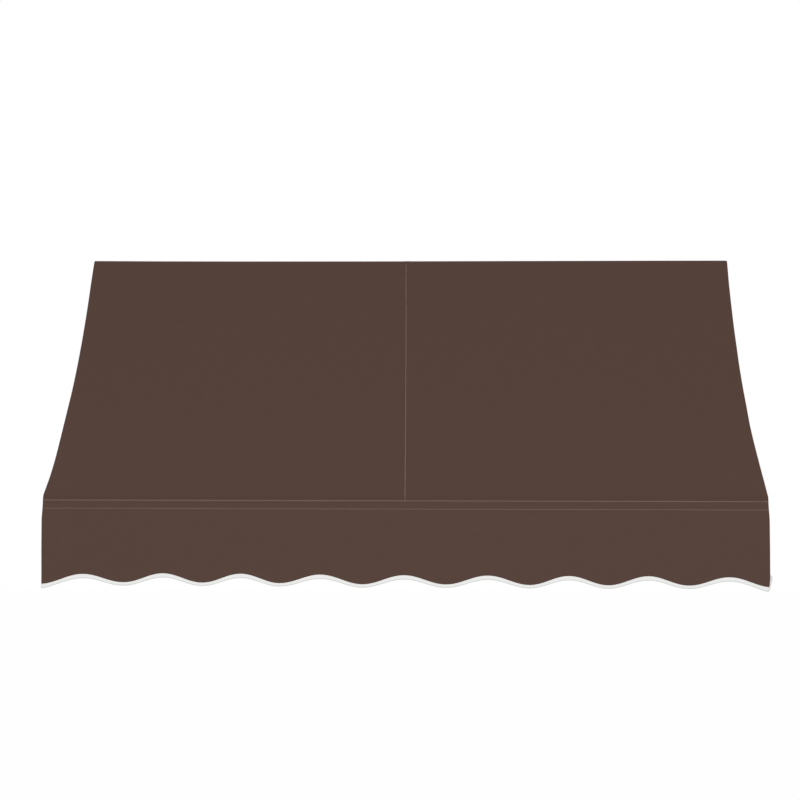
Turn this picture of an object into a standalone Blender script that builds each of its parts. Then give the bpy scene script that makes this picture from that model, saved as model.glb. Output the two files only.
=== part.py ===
"""Fixed window awning: acrylic cloth cover on a slip-together aluminium tube frame.

Metres, +Z up. The wall plane is Y = 0 and the awning stands out towards -Y.
The origin is the middle of the back face of the centre wall bracket.
"""
import math

import bmesh
import bpy
from mathutils import Vector

# Overall size
HALF_WIDTH = 0.819
BAR_FROM_WALL = 0.018
HEAD_AXIS_Z = 0.020
PROJECTION = 0.579
DROP = 0.597

# Tube frame
TUBE_R = 0.0127
TUBE_WALL = 0.0016
GAP = 0.0003
SPIGOT_LEN = 0.028
SPIGOT_ROOT = 0.006
LEG = 0.052
FOOT_LEG = 0.016
COLLAR_END = 0.038
CASTING_ROUND = 0.0045
TUBE_IR = TUBE_R - TUBE_WALL
SPIGOT_R = TUBE_IR - GAP
SEAT_R = TUBE_R + GAP

# Rafter curve
TURN = math.radians(24.8)
STRAIGHT = 0.080
ARC_STEPS = 16
STATION_CLEAR = 0.004

# Hook and loop straps
STRAP_T = 0.0012
STRAP_WIDTH = 0.025
STRAP_IN = TUBE_R + GAP
STRAP_OUT = STRAP_IN + STRAP_T

# Cloth
CLOTH_T = 0.0010
CLOTH_IN = STRAP_OUT + GAP
HEM_BELOW = 0.024
FLAP_BELOW = 0.035
SEAM_X_TOP = -0.0095
SEAM_X_FRONT = -0.0005
POCKET_END = 0.10
SIDE_AXIS_X = HALF_WIDTH - CLOTH_T - CLOTH_IN

# Valance
VALANCE_TOP = 0.003
WAVES = 9
TROUGH_UPPER = 0.1895
CREST_UPPER = 0.1690
TROUGH_LOWER = 0.1970
CREST_LOWER = 0.1785
BINDING_T = 0.0008
BINDING_FOLD = 0.0012
WALL_CLEARANCE = 0.004
STEPS_PER_WAVE = 12

# Wall brackets, and the notches in the wall flap that clear them
BRACKET_FROM_SIDE = 0.199
BRACKET_HALF = 0.042
BRACKET_HALF_H = 0.026
NOTCH_CLEAR = 0.004
NOTCH_HALF = BRACKET_HALF + NOTCH_CLEAR
NOTCH_ROWS = 3
PLATE_T = 0.003
RIB_T = 0.004
RIB_CENTRE = 0.020
RIB_DEPTH = 0.0045
RIB_FOOT_Z = -0.022
RIB_WRAP = 120
HOLE_R = 0.0033
HOLE_X = 0.032
HOLE_Z = -0.010
BRACKET_X = (BRACKET_FROM_SIDE - HALF_WIDTH, 0.0, HALF_WIDTH - BRACKET_FROM_SIDE)

# Wall flange of a foot casting
FLANGE_T = 0.004
FLANGE_HALF_H = 0.021
FLANGE_REACH = 0.052
FLANGE_ROOT = 0.004
FLANGE_HOLE_IN = 0.036
FLANGE_HOLE_Z = 0.011
NECK_HALF = 0.008
NECK_HALF_H = 0.010

# Saddles of the centre rafter
SADDLE_T = 0.0035
SADDLE_HALF = 0.0165
SADDLE_SPREAD = 48
COLLAR_ROOT = 0.009

# Strap places
HEAD_STRAPS = (-0.45, -0.20, 0.20, 0.45)
FRONT_STRAPS = (-0.60, -0.22, 0.22, 0.60)
RAFTER_STRAPS = (0.34, 0.66)
RAIL_STRAP = 0.5
UPRIGHT_STRAP = 0.54

FRONT_Y = -(BAR_FROM_WALL + PROJECTION)
FRONT_Z = HEAD_AXIS_Z - DROP


def clear_scene():
    """Remove every object that is already there."""
    for old in list(bpy.data.objects):
        bpy.data.objects.remove(old, do_unlink=True)


def material(name, color, rough, metallic):
    """Return a plain Principled material."""
    mat = bpy.data.materials.new(name)
    mat.use_nodes = True
    shader = mat.node_tree.nodes["Principled BSDF"]
    shader.inputs["Base Color"].default_value = (*color, 1.0)
    shader.inputs["Roughness"].default_value = rough
    shader.inputs["Metallic"].default_value = metallic
    mat.diffuse_color = (*color, 1.0)
    return mat


def add_object(name, verts, faces, mat, smooth=0.0):
    """Make a closed mesh object, with smooth shading below the given angle."""
    mesh = bpy.data.meshes.new(name)
    mesh.from_pydata([tuple(v) for v in verts], [], faces)
    work = bmesh.new()
    work.from_mesh(mesh)
    bmesh.ops.recalc_face_normals(work, faces=work.faces)
    if smooth:
        for face in work.faces:
            face.smooth = True
        for edge in work.edges:
            edge.smooth = len(edge.link_faces) == 2 and edge.calc_face_angle() < smooth
    work.to_mesh(mesh)
    work.free()
    mesh.materials.append(mat)
    obj = bpy.data.objects.new(name, mesh)
    bpy.context.scene.collection.objects.link(obj)
    return obj


def helper(obj):
    """Mark an object as a Boolean helper."""
    obj.hide_render = True
    obj.display_type = "WIRE"
    return obj


def boolean(obj, other, operation):
    """Add one exact Boolean to an object."""
    mod = obj.modifiers.new(operation.title(), "BOOLEAN")
    mod.operation = operation
    mod.solver = "EXACT"
    mod.object = helper(other)
    return obj


def sweep(name, centres, side, radius_out, radius_in, mat, count=24):
    """Sweep a round tube, or a rod where radius_in is 0, along planar points."""
    verts, faces = [], []
    last = len(centres) - 1
    for i, point in enumerate(centres):
        tangent = centres[min(i + 1, last)] - centres[max(i - 1, 0)]
        up = tangent.normalized().cross(side).normalized()
        for radius in (radius_out, radius_in) if radius_in else (radius_out,):
            for k in range(count):
                a = 2.0 * math.pi * (k + 0.5) / count
                verts.append(point + side * (radius * math.cos(a)) + up * (radius * math.sin(a)))
    rings = 2 if radius_in else 1
    step = rings * count
    for i in range(last):
        for ring in range(rings):
            for k in range(count):
                n = (k + 1) % count
                a, b = i * step + ring * count, (i + 1) * step + ring * count
                faces.append((a + k, a + n, b + n, b + k))
    for base in (0, last * step):
        if radius_in:
            for k in range(count):
                n = (k + 1) % count
                faces.append((base + k, base + n, base + count + n, base + count + k))
        else:
            faces.append(tuple(base + k for k in range(count)))
    return add_object(name, verts, faces, mat, math.radians(40))


def rod(name, start, end, radius, mat, bore=0.0, count=24):
    """Straight tube or rod between two points."""
    axis = (end - start).normalized()
    side = Vector((1, 0, 0)) if abs(axis.x) < 0.9 else Vector((0, 1, 0))
    side = (side - axis * side.dot(axis)).normalized()
    return sweep(name, [start, end], side, radius, bore, mat, count)


def prism(name, outline, x_low, x_high, mat, bevel_edges=None, smooth=0.0):
    """Extrude a closed (y, z) outline along X, with optional rounded long edges."""
    n = len(outline)
    verts = [(x_low, y, z) for y, z in outline] + [(x_high, y, z) for y, z in outline]
    faces = [tuple(range(n)), tuple(range(2 * n - 1, n - 1, -1))]
    faces += [(i, (i + 1) % n, n + (i + 1) % n, n + i) for i in range(n)]
    obj = add_object(name, verts, faces, mat, smooth)
    if bevel_edges:
        work = bmesh.new()
        work.from_mesh(obj.data)
        chosen = []
        for edge in work.edges:
            a, b = sorted(v.index for v in edge.verts)
            same = (a < n) == (b < n)
            key = (a % n, b % n)
            if same and key not in bevel_edges and key[::-1] not in bevel_edges:
                chosen.append(edge)
        bmesh.ops.bevel(work, geom=chosen, offset=CASTING_ROUND, segments=3, profile=0.5,
                        affect="EDGES", clamp_overlap=True)
        for face in work.faces:
            face.smooth = True
        for edge in work.edges:
            edge.smooth = len(edge.link_faces) == 2 and edge.calc_face_angle() < math.radians(35)
        work.to_mesh(obj.data)
        work.free()
    return obj


def box(name, low, high, mat):
    """Axis-aligned box between two corners."""
    outline = [(low[1], low[2]), (high[1], low[2]), (high[1], high[2]), (low[1], high[2])]
    return prism(name, outline, low[0], high[0], mat)


def world(out, down):
    """Section coordinates, outward and down from the head bar, to (y, z)."""
    return -(BAR_FROM_WALL + out), HEAD_AXIS_Z - down


class Rafter:
    """Axis of a curved rafter in section, with its angle from vertical at each point."""

    def __init__(self):
        """Work out the straight ends and the arc between the two bars."""
        chord = math.hypot(PROJECTION, DROP)
        tilt = math.atan2(PROJECTION, DROP)
        self.start = tilt - TURN / 2
        self.end = tilt + TURN / 2
        half = TURN / 2
        self.radius = (chord - 2 * STRAIGHT * math.cos(half)) / (2 * math.sin(half))
        self.arc = self.radius * TURN
        self.length = self.arc + 2 * STRAIGHT

    def at(self, s):
        """Point (out, down) and angle at a distance along the axis."""
        a0 = self.start
        if s <= STRAIGHT:
            return s * math.sin(a0), s * math.cos(a0), a0
        out, down = STRAIGHT * math.sin(a0), STRAIGHT * math.cos(a0)
        angle = a0 + min(s - STRAIGHT, self.arc) / self.radius
        cord = 2 * self.radius * math.sin((angle - a0) / 2)
        mid = (angle + a0) / 2
        out += cord * math.sin(mid)
        down += cord * math.cos(mid)
        rest = max(s - STRAIGHT - self.arc, 0.0)
        return out + rest * math.sin(angle), down + rest * math.cos(angle), angle

    def point(self, s, x):
        """Axis point in the part's frame."""
        out, down, _ = self.at(s)
        return Vector((x, *world(out, down)))

    def stations(self, low, high):
        """Distances along the axis from low to high, denser in the arc."""
        arc = [STRAIGHT + self.arc * k / ARC_STEPS for k in range(ARC_STEPS + 1)]
        return [low] + [s for s in arc if low + STATION_CLEAR < s < high - STATION_CLEAR] + [high]


RAFTER = Rafter()


def section(offset, flap=True):
    """Outline of the cover at an offset from the tube axes, from the wall flap to the front hem."""
    points = []
    if flap:
        points.append((-offset, FLAP_BELOW))
    steps = 10
    for k in range(steps + 1):
        a = math.pi - (math.pi - RAFTER.start) * k / steps
        points.append((offset * math.cos(a), -offset * math.sin(a)))
    for s in RAFTER.stations(0.0, RAFTER.length)[1:]:
        out, down, angle = RAFTER.at(s)
        points.append((out + offset * math.cos(angle), down - offset * math.sin(angle)))
    steps = 7
    for k in range(1, steps + 1):
        a = RAFTER.end * (1 - k / steps)
        points.append((PROJECTION + offset * math.cos(a), DROP - offset * math.sin(a)))
    points.append((PROJECTION + offset, DROP + HEM_BELOW))
    return [world(out, down) for out, down in points]


def cell_sheet(name, inner, outer, x_at, columns, keep, mat):
    """Closed cloth of quads between two section lines, with some cells left out."""
    rows = len(inner)
    verts = []
    for line in (inner, outer):
        for i in range(rows):
            for j in range(columns + 1):
                verts.append((x_at(i, j), *line[i]))
    shift = rows * (columns + 1)

    def at(i, j):
        """Index of one grid point."""
        return i * (columns + 1) + j

    def kept(i, j):
        """Whether a cell exists."""
        return 0 <= i < rows - 1 and 0 <= j < columns and keep(i, j)

    faces = []
    for i in range(rows - 1):
        for j in range(columns):
            if not kept(i, j):
                continue
            a, b, c, d = at(i, j), at(i, j + 1), at(i + 1, j + 1), at(i + 1, j)
            faces.append((a, b, c, d))
            faces.append((a + shift, d + shift, c + shift, b + shift))
            around = (((i - 1, j), a, b), ((i + 1, j), c, d), ((i, j - 1), d, a), ((i, j + 1), b, c))
            for other, p, q in around:
                if not kept(*other):
                    faces.append((p, q, q + shift, p + shift))
    used = sorted({v for face in faces for v in face})
    new = {old: k for k, old in enumerate(used)}
    faces = [tuple(new[v] for v in face) for face in faces]
    return add_object(name, [verts[v] for v in used], faces, mat, math.radians(40))


def seam_x(i, rows):
    """Where the lap seam runs across the cover at one station."""
    return SEAM_X_TOP + (SEAM_X_FRONT - SEAM_X_TOP) * i / (rows - 1)


def canopy_panels(mat):
    """The two widths of cloth that meet at the middle seam."""
    inner, outer = section(CLOTH_IN), section(CLOTH_IN + CLOTH_T)
    rows = len(inner)
    for name, sign in (("canopy_panel_left", -1), ("canopy_panel_right", 1)):
        outer_x = BRACKET_X[-1]
        fixed = [HALF_WIDTH, outer_x + NOTCH_HALF, outer_x - NOTCH_HALF, NOTCH_HALF]
        notched = {1, 3}

        def x_at(i, j, sign=sign, fixed=fixed):
            """Column position, the last one on the seam."""
            if j < len(fixed):
                return sign * fixed[j]
            return seam_x(i, rows) + sign * GAP / 2

        cell_sheet(name, inner, outer, x_at, len(fixed),
                   lambda i, j: not (i < NOTCH_ROWS and j in notched), mat)


def side_wings(mat):
    """Flat triangular ends of the cover."""
    line = section(CLOTH_IN - GAP, flap=False)
    low_z = FRONT_Z - HEM_BELOW
    back_y = -(BAR_FROM_WALL - CLOTH_IN + GAP)
    outline = [(back_y, low_z)] + line
    for name, sign in (("side_wing_left", -1), ("side_wing_right", 1)):
        ends = sorted((sign * HALF_WIDTH, sign * (HALF_WIDTH - CLOTH_T)))
        prism(name, outline, ends[0], ends[1], mat)


def wave(distance, trough, crest):
    """Height of a valance line at a distance from a front corner."""
    pitch = 2 * (HALF_WIDTH + GAP + CLOTH_T) / WAVES
    return FRONT_Z - trough + (trough - crest) * 0.5 * (1 - math.cos(2 * math.pi * distance / pitch))


def valances(cloth, tape):
    """Wavy strips below the frame and the tape folded over their lower edges."""
    top = FRONT_Z + VALANCE_TOP
    face = HALF_WIDTH + GAP
    front = FRONT_Y - CLOTH_IN - CLOTH_T - GAP
    half = CLOTH_T / 2 + GAP + BINDING_T

    def strip(name, place, length, start=0.0):
        """One valance of a length that starts at a front corner."""
        count = max(2, round(length / (2 * face / WAVES) * STEPS_PER_WAVE))
        verts, faces = [], []
        for i in range(count + 1):
            d = start + (length - start) * i / count
            low = wave(d, TROUGH_LOWER, CREST_LOWER) + BINDING_FOLD
            for z in (top, low):
                for t in (-CLOTH_T / 2, CLOTH_T / 2):
                    verts.append(place(d, t, z))
        for i in range(count):
            a, b = 4 * i, 4 * i + 4
            for p, q in ((0, 1), (1, 3), (3, 2), (2, 0)):
                faces.append((a + p, a + q, b + q, b + p))
        faces += [(0, 1, 3, 2), (4 * count, 4 * count + 2, 4 * count + 3, 4 * count + 1)]
        return add_object(name, verts, faces, cloth, math.radians(40))

    def binding(name, place, length, start=0.0):
        """Folded tape along one lower edge."""
        count = max(2, round(length / (2 * face / WAVES) * STEPS_PER_WAVE))
        slot = CLOTH_T / 2 + GAP
        verts, faces = [], []
        for i in range(count + 1):
            d = start + (length - start) * i / count
            up = wave(d, TROUGH_UPPER, CREST_UPPER)
            low = wave(d, TROUGH_LOWER, CREST_LOWER)
            floor = low + BINDING_FOLD - GAP
            ring = [(-half, up), (-half, low), (half, low), (half, up), (slot, up), (slot, floor),
                    (-slot, floor), (-slot, up)]
            verts += [place(d, t, z) for t, z in ring]
        for i in range(count):
            for k in range(8):
                n = (k + 1) % 8
                faces.append((8 * i + k, 8 * i + n, 8 * i + 8 + n, 8 * i + 8 + k))
        for base in (0, 8 * count):
            for quad in ((0, 1, 6, 7), (1, 2, 5, 6), (2, 3, 4, 5)):
                faces.append(tuple(base + k for k in quad))
        return add_object(name, verts, faces, tape, math.radians(40))

    width = 2 * (face + CLOTH_T)
    mid_y = front - CLOTH_T / 2

    def on_front(d, t, z):
        """Place on the front face, from the left corner."""
        return (-width / 2 + d, mid_y + t, z)

    strip("valance_front", on_front, width)
    reach = CLOTH_T / 2 + half - CLOTH_T
    binding("binding_front", on_front, width + reach, -reach)
    depth = -front - WALL_CLEARANCE
    for side, sign in (("left", -1), ("right", 1)):
        mid_x = sign * (face + CLOTH_T / 2)

        def on_side(d, t, z, mid_x=mid_x):
            """Place on a side face, from the front corner back to the wall."""
            return (mid_x + t, front + d, z)

        clear = half - CLOTH_T / 2 + 2 * GAP
        strip("valance_" + side, on_side, depth, clear)
        binding("binding_" + side, on_side, depth, clear)


def bars(mat):
    """The straight and curved tubes."""
    end_x = SIDE_AXIS_X - TUBE_R - GAP
    for name, y, z in (("head_bar", -BAR_FROM_WALL, HEAD_AXIS_Z), ("front_bar", FRONT_Y, FRONT_Z)):
        rod(name, Vector((-end_x, y, z)), Vector((end_x, y, z)), TUBE_R, mat, TUBE_IR)
    places = (("left", -SIDE_AXIS_X, LEG), ("right", SIDE_AXIS_X, LEG), ("centre", 0.0, COLLAR_END))
    for side, x, reach in places:
        stations = RAFTER.stations(reach + GAP, RAFTER.length - reach - GAP)
        sweep("rafter_" + side, [RAFTER.point(s, x) for s in stations], Vector((1, 0, 0)),
              TUBE_R, TUBE_IR, mat)
    for side, x in (("left", -SIDE_AXIS_X), ("right", SIDE_AXIS_X)):
        y = -BAR_FROM_WALL
        rod("wall_upright_" + side, Vector((x, y, HEAD_AXIS_Z - LEG - GAP)),
            Vector((x, y, FRONT_Z + FOOT_LEG + GAP)), TUBE_R, mat, TUBE_IR)
        rod("side_rail_" + side, Vector((x, y - FOOT_LEG - GAP, FRONT_Z)),
            Vector((x, FRONT_Y + LEG + GAP, FRONT_Z)), TUBE_R, mat, TUBE_IR)


def elbow_outline(corner, angle_a, angle_b, leg):
    """Outline of two legs that meet, with the outline edges at the leg ends."""
    ya, za = corner
    half = (angle_b - angle_a) / 2
    reach = TUBE_R / math.tan(half)

    def leg_point(angle, along, across):
        """Point beside a leg."""
        return (ya + along * math.cos(angle) - across * math.sin(angle),
                za + along * math.sin(angle) + across * math.cos(angle))

    points = [leg_point(angle_a, leg, TUBE_R), leg_point(angle_a, leg, -TUBE_R)]
    steps = 10
    low, high = angle_a - math.pi / 2, angle_b + math.pi / 2 - 2 * math.pi
    for k in range(steps + 1):
        a = low + (high - low) * k / steps
        points.append((ya + TUBE_R * math.cos(a), za + TUBE_R * math.sin(a)))
    points += [leg_point(angle_b, leg, TUBE_R), leg_point(angle_b, leg, -TUBE_R)]
    points.append(leg_point(angle_a, reach, TUBE_R))
    n = len(points)
    return points, {(0, 1), (n - 3, n - 2)}


def spigot(obj, face, direction, mat):
    """Add a round tongue that enters a tube beyond a leg's end face."""
    start, end = face - direction * SPIGOT_ROOT, face + direction * SPIGOT_LEN
    boolean(obj, rod(obj.name + "_spigot", start, end, SPIGOT_R, mat, 0.0, 20), "UNION")


def corner_castings(mat):
    """Castings that join the tubes at the corners of each side."""
    head = (-BAR_FROM_WALL, HEAD_AXIS_Z)
    front = (FRONT_Y, FRONT_Z)
    foot = (-BAR_FROM_WALL, FRONT_Z)
    down = -math.pi / 2
    rafter_down = -math.pi / 2 - RAFTER.start
    rafter_up = math.pi / 2 - RAFTER.end
    cases = (("head_corner", head, rafter_down, down, LEG), ("front_corner", front, 0.0, rafter_up, LEG),
             ("foot_corner", foot, math.pi / 2, math.pi, FOOT_LEG))
    for side, sign in (("left", -1), ("right", 1)):
        x = sign * SIDE_AXIS_X
        for name, corner, low, high, leg in cases:
            outline, ends = elbow_outline(corner, low, high, leg)
            obj = prism(f"{name}_{side}", outline, x - TUBE_R, x + TUBE_R, mat, ends)
            centre = Vector((x, *corner))
            for angle in (low, high):
                direction = Vector((0, math.cos(angle), math.sin(angle)))
                spigot(obj, centre + direction * leg, direction, mat)
            if name != "foot_corner":
                inward = Vector((-sign, 0, 0))
                spigot(obj, centre + inward * TUBE_R, inward, mat)
            else:
                wall_flange(obj, sign, mat)


def wall_flange(obj, sign, mat):
    """Add the flat wall foot of a lower corner, with its two screw holes."""
    x, z = sign * SIDE_AXIS_X, FRONT_Z
    ends = sorted((x - sign * FLANGE_REACH, x - sign * FLANGE_ROOT))
    neck_back = -FLANGE_T / 2
    neck_front = -BAR_FROM_WALL + TUBE_R / 2
    boolean(obj, box(obj.name + "_neck", (x - NECK_HALF, neck_front, z - NECK_HALF_H),
                     (x + NECK_HALF, neck_back, z + NECK_HALF_H), mat), "UNION")
    boolean(obj, box(obj.name + "_flange", (ends[0], -FLANGE_T, z - FLANGE_HALF_H),
                     (ends[1], 0.0, z + FLANGE_HALF_H), mat), "UNION")
    for dz in (-FLANGE_HOLE_Z, FLANGE_HOLE_Z):
        place = Vector((x - sign * FLANGE_HOLE_IN, -FLANGE_T / 2, z + dz))
        through = Vector((0, 3 * FLANGE_T, 0))
        hole = rod(obj.name + "_hole", place - through, place + through, HOLE_R, mat, 0.0, 20)
        boolean(obj, hole, "DIFFERENCE")


def centre_saddles(mat):
    """Castings that hold the centre rafter against the two bars."""
    places = (("centre_saddle_head", (-BAR_FROM_WALL, HEAD_AXIS_Z), 0.0, 1),
              ("centre_saddle_front", (FRONT_Y, FRONT_Z), RAFTER.length, -1))
    for name, corner, end, toward in places:
        axis = Vector((0.0, *corner))
        direction = (RAFTER.point(end + toward * COLLAR_END, 0.0) - axis).normalized()
        middle = math.atan2(direction.z, direction.y)
        apex = TUBE_R / 2
        outline = [(corner[0] + apex * math.cos(middle), corner[1] + apex * math.sin(middle))]
        spread = math.radians(SADDLE_SPREAD)
        outside = TUBE_R + SADDLE_T
        for k in range(13):
            a = middle - spread + 2 * spread * k / 12
            outline.append((corner[0] + outside * math.cos(a), corner[1] + outside * math.sin(a)))
        obj = prism(name, outline, -SADDLE_HALF, SADDLE_HALF, mat, smooth=math.radians(35))
        root, tip = axis + direction * COLLAR_ROOT, axis + direction * COLLAR_END
        boolean(obj, rod(name + "_collar", root, tip, TUBE_R, mat), "UNION")
        reach = Vector((2 * SADDLE_HALF, 0, 0))
        boolean(obj, rod(name + "_seat", axis - reach, axis + reach, SEAT_R, mat, 0.0, 48), "DIFFERENCE")
        spigot(obj, tip, direction, mat)


def wall_brackets(mat):
    """Brackets that carry the head bar on two ribs each."""
    cy, cz = -BAR_FROM_WALL, HEAD_AXIS_Z
    outside = TUBE_R + RIB_DEPTH
    inner_y = -PLATE_T / 3
    outline = [(inner_y, cz)]
    for k in range(13):
        a = math.radians(-RIB_WRAP * k / 12)
        outline.append((cy + SEAT_R * math.cos(a), cz + SEAT_R * math.sin(a)))
    for k in range(4):
        a = math.radians(-RIB_WRAP + (RIB_WRAP - 90) * k / 3)
        outline.append((cy + outside * math.cos(a), cz + outside * math.sin(a)))
    outline.append((inner_y, RIB_FOOT_Z))
    for name, x in zip(("wall_bracket_left", "wall_bracket_centre", "wall_bracket_right"), BRACKET_X):
        obj = box(name, (x - BRACKET_HALF, -PLATE_T, -BRACKET_HALF_H),
                  (x + BRACKET_HALF, 0.0, BRACKET_HALF_H), mat)
        for sign in (-1, 1):
            middle = x + sign * RIB_CENTRE
            rib = prism(name + "_rib", outline, middle - RIB_T / 2, middle + RIB_T / 2, mat)
            boolean(obj, rib, "UNION")
        for sign in (-1, 1):
            place = Vector((x + sign * HOLE_X, -PLATE_T / 2, HOLE_Z))
            through = Vector((0, 3 * PLATE_T, 0))
            hole = rod(name + "_hole", place - through, place + through, HOLE_R, mat, 0.0, 20)
            boolean(obj, hole, "DIFFERENCE")


def ring(name, centre, axis, mat):
    """Hook and loop strap closed round a tube."""
    half = axis.normalized() * (STRAP_WIDTH / 2)
    rod(name, centre - half, centre + half, STRAP_OUT, mat, STRAP_IN)


def straps(mat):
    """Straps that hold the cover to the tubes."""
    along_x = Vector((1, 0, 0))
    for k, x in enumerate(HEAD_STRAPS, 1):
        ring(f"strap_head_{k}", Vector((x, -BAR_FROM_WALL, HEAD_AXIS_Z)), along_x, mat)
    for k, x in enumerate(FRONT_STRAPS, 1):
        ring(f"strap_front_{k}", Vector((x, FRONT_Y, FRONT_Z)), along_x, mat)
    rail_y = -BAR_FROM_WALL - RAIL_STRAP * PROJECTION
    upright_z = HEAD_AXIS_Z - UPRIGHT_STRAP * DROP
    for side, x in (("left", -SIDE_AXIS_X), ("right", SIDE_AXIS_X)):
        for k, share in enumerate(RAFTER_STRAPS, 1):
            s = RAFTER.length * share
            _, _, angle = RAFTER.at(s)
            along = Vector((0, -math.sin(angle), -math.cos(angle)))
            ring(f"strap_rafter_{side}_{k}", RAFTER.point(s, x), along, mat)
        ring("strap_rail_" + side, Vector((x, rail_y, FRONT_Z)), Vector((0, 1, 0)), mat)
        ring("strap_upright_" + side, Vector((x, -BAR_FROM_WALL, upright_z)), Vector((0, 0, 1)), mat)


def rafter_pocket(mat):
    """Cloth sleeve that the centre rafter runs in, below the seam."""
    stations = RAFTER.stations(POCKET_END, RAFTER.length - POCKET_END)
    sweep("rafter_pocket", [RAFTER.point(s, 0.0) for s in stations], Vector((1, 0, 0)),
          STRAP_OUT, STRAP_IN, mat)


def main():
    """Build the awning."""
    clear_scene()
    canopy = material("acrylic_canvas", (0.091, 0.054, 0.043), 0.9, 0.0)
    tape = material("binding_tape", (0.86, 0.86, 0.85), 0.8, 0.0)
    tube = material("mill_aluminium", (0.72, 0.73, 0.74), 0.35, 1.0)
    cast = material("cast_aluminium", (0.55, 0.56, 0.57), 0.5, 1.0)
    steel = material("zinc_plated_steel", (0.60, 0.61, 0.62), 0.4, 1.0)
    webbing = material("strap_webbing", (0.03, 0.02, 0.018), 0.9, 0.0)
    canopy_panels(canopy)
    side_wings(canopy)
    valances(canopy, tape)
    rafter_pocket(canopy)
    bars(tube)
    corner_castings(cast)
    centre_saddles(cast)
    wall_brackets(steel)
    straps(webbing)


main()
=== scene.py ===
"""Looks of a fixed window awning: cloth, tape, stitching, metal finishes and light.

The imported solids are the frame. Everything is in metres in their space: the wall is the
plane Y = 0, the awning stands out towards -Y, +X is right and +Z is up.
"""
from __future__ import annotations

import logging  # noqa: E402
import math  # noqa: E402
from dataclasses import dataclass, field  # noqa: E402
from enum import Enum, IntEnum  # noqa: E402

import bpy  # noqa: E402
import numpy as np  # noqa: E402
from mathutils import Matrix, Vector  # noqa: E402


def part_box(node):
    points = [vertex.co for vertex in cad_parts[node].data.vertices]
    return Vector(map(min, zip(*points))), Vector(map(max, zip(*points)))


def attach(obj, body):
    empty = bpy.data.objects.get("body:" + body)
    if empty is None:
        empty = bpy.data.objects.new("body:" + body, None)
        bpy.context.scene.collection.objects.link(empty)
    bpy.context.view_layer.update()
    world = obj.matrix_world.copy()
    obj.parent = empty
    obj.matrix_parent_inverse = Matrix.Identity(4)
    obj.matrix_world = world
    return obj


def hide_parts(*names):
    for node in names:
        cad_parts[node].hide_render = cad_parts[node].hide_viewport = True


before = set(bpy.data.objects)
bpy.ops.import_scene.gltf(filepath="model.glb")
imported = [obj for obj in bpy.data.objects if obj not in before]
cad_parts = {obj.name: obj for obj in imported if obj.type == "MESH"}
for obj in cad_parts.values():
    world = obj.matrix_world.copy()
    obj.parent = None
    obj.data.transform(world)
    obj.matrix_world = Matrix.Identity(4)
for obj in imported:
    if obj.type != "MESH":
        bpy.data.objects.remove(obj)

log = logging.getLogger("awning")

Grid = np.ndarray
Pair = tuple[float, float]
Triple = tuple[float, float, float]
Colour = Triple
Faces = list[tuple[int, ...]]
MeshParts = tuple[Grid, Faces, Grid]

WEAVE = "Weave"
MM = 0.001
CLOTH = 0.6 * MM
CANVAS_BROWN: Colour = (0.0845, 0.0490, 0.0385)
# Painted light: a lighter copy of the canvas brown for the valance, standing in for the extra light on its
# upright face.
VALANCE_PAINTED_LIGHT_BROWN: Colour = (0.0920, 0.0546, 0.0433)
THREAD_BROWN: Colour = (0.62, 0.49, 0.43)
THREAD_WHITE: Colour = (0.84, 0.84, 0.83)


class Slot(Enum):
    """Material slots of the record."""

    CANVAS = "acrylic_canvas"
    TAPE = "binding_tape"
    WEBBING = "strap_webbing"
    ZINC = "zinc_plated_steel"


class Side(IntEnum):
    """A side of the awning, as the sign of X there."""

    LEFT = -1
    RIGHT = 1

    @property
    def word(self) -> str:
        """How pieces and nodes on that side are named."""
        return self.name.lower()


class ClothFace(IntEnum):
    """A face of the cloth, as the sign of its outward direction."""

    OUTER = 1
    INNER = -1


# ---------------------------------------------------------------- materials

class Socket:
    """A number or colour inside a material, with the arithmetic that the finishes use."""

    def __init__(self, recipe: "Recipe", source: bpy.types.NodeSocket) -> None:
        """Wrap one output socket."""
        self.recipe = recipe
        self.source = source

    def _math(self, operation: str, first: "Number", second: "Number" = 0.0) -> "Socket":
        """Add one Math node."""
        return self.recipe.node("ShaderNodeMath", {"operation": operation}, {0: first, 1: second})

    def __add__(self, other: "Number") -> "Socket":
        """Sum."""
        return self._math("ADD", self, other)

    def __radd__(self, other: "Number") -> "Socket":
        """Sum, from the right."""
        return self._math("ADD", other, self)

    def __sub__(self, other: "Number") -> "Socket":
        """Difference."""
        return self._math("SUBTRACT", self, other)

    def __rsub__(self, other: "Number") -> "Socket":
        """Difference, from the right."""
        return self._math("SUBTRACT", other, self)

    def __mul__(self, other: "Number") -> "Socket":
        """Product."""
        return self._math("MULTIPLY", self, other)

    def __rmul__(self, other: "Number") -> "Socket":
        """Product, from the right."""
        return self._math("MULTIPLY", other, self)

    def wave(self) -> "Socket":
        """Sine of the value."""
        return self._math("SINE", self)

    def ribs(self, pitch: float) -> "Socket":
        """Round ribs from 0 to 1 across a distance, one to each pitch."""
        return (self * (2 * math.pi / pitch)).wave() * 0.5 + 0.5

    def clamped(self) -> "Socket":
        """The value held between 0 and 1."""
        return self.recipe.node("ShaderNodeClamp", None, {0: self})


Number = float | Socket


@dataclass(frozen=True)
class Noise:
    """A soft noise: its scale per metre, how many finer layers it has, and how strong they are."""

    scale: float
    detail: float = 2.0
    rough: float = 0.5


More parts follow.
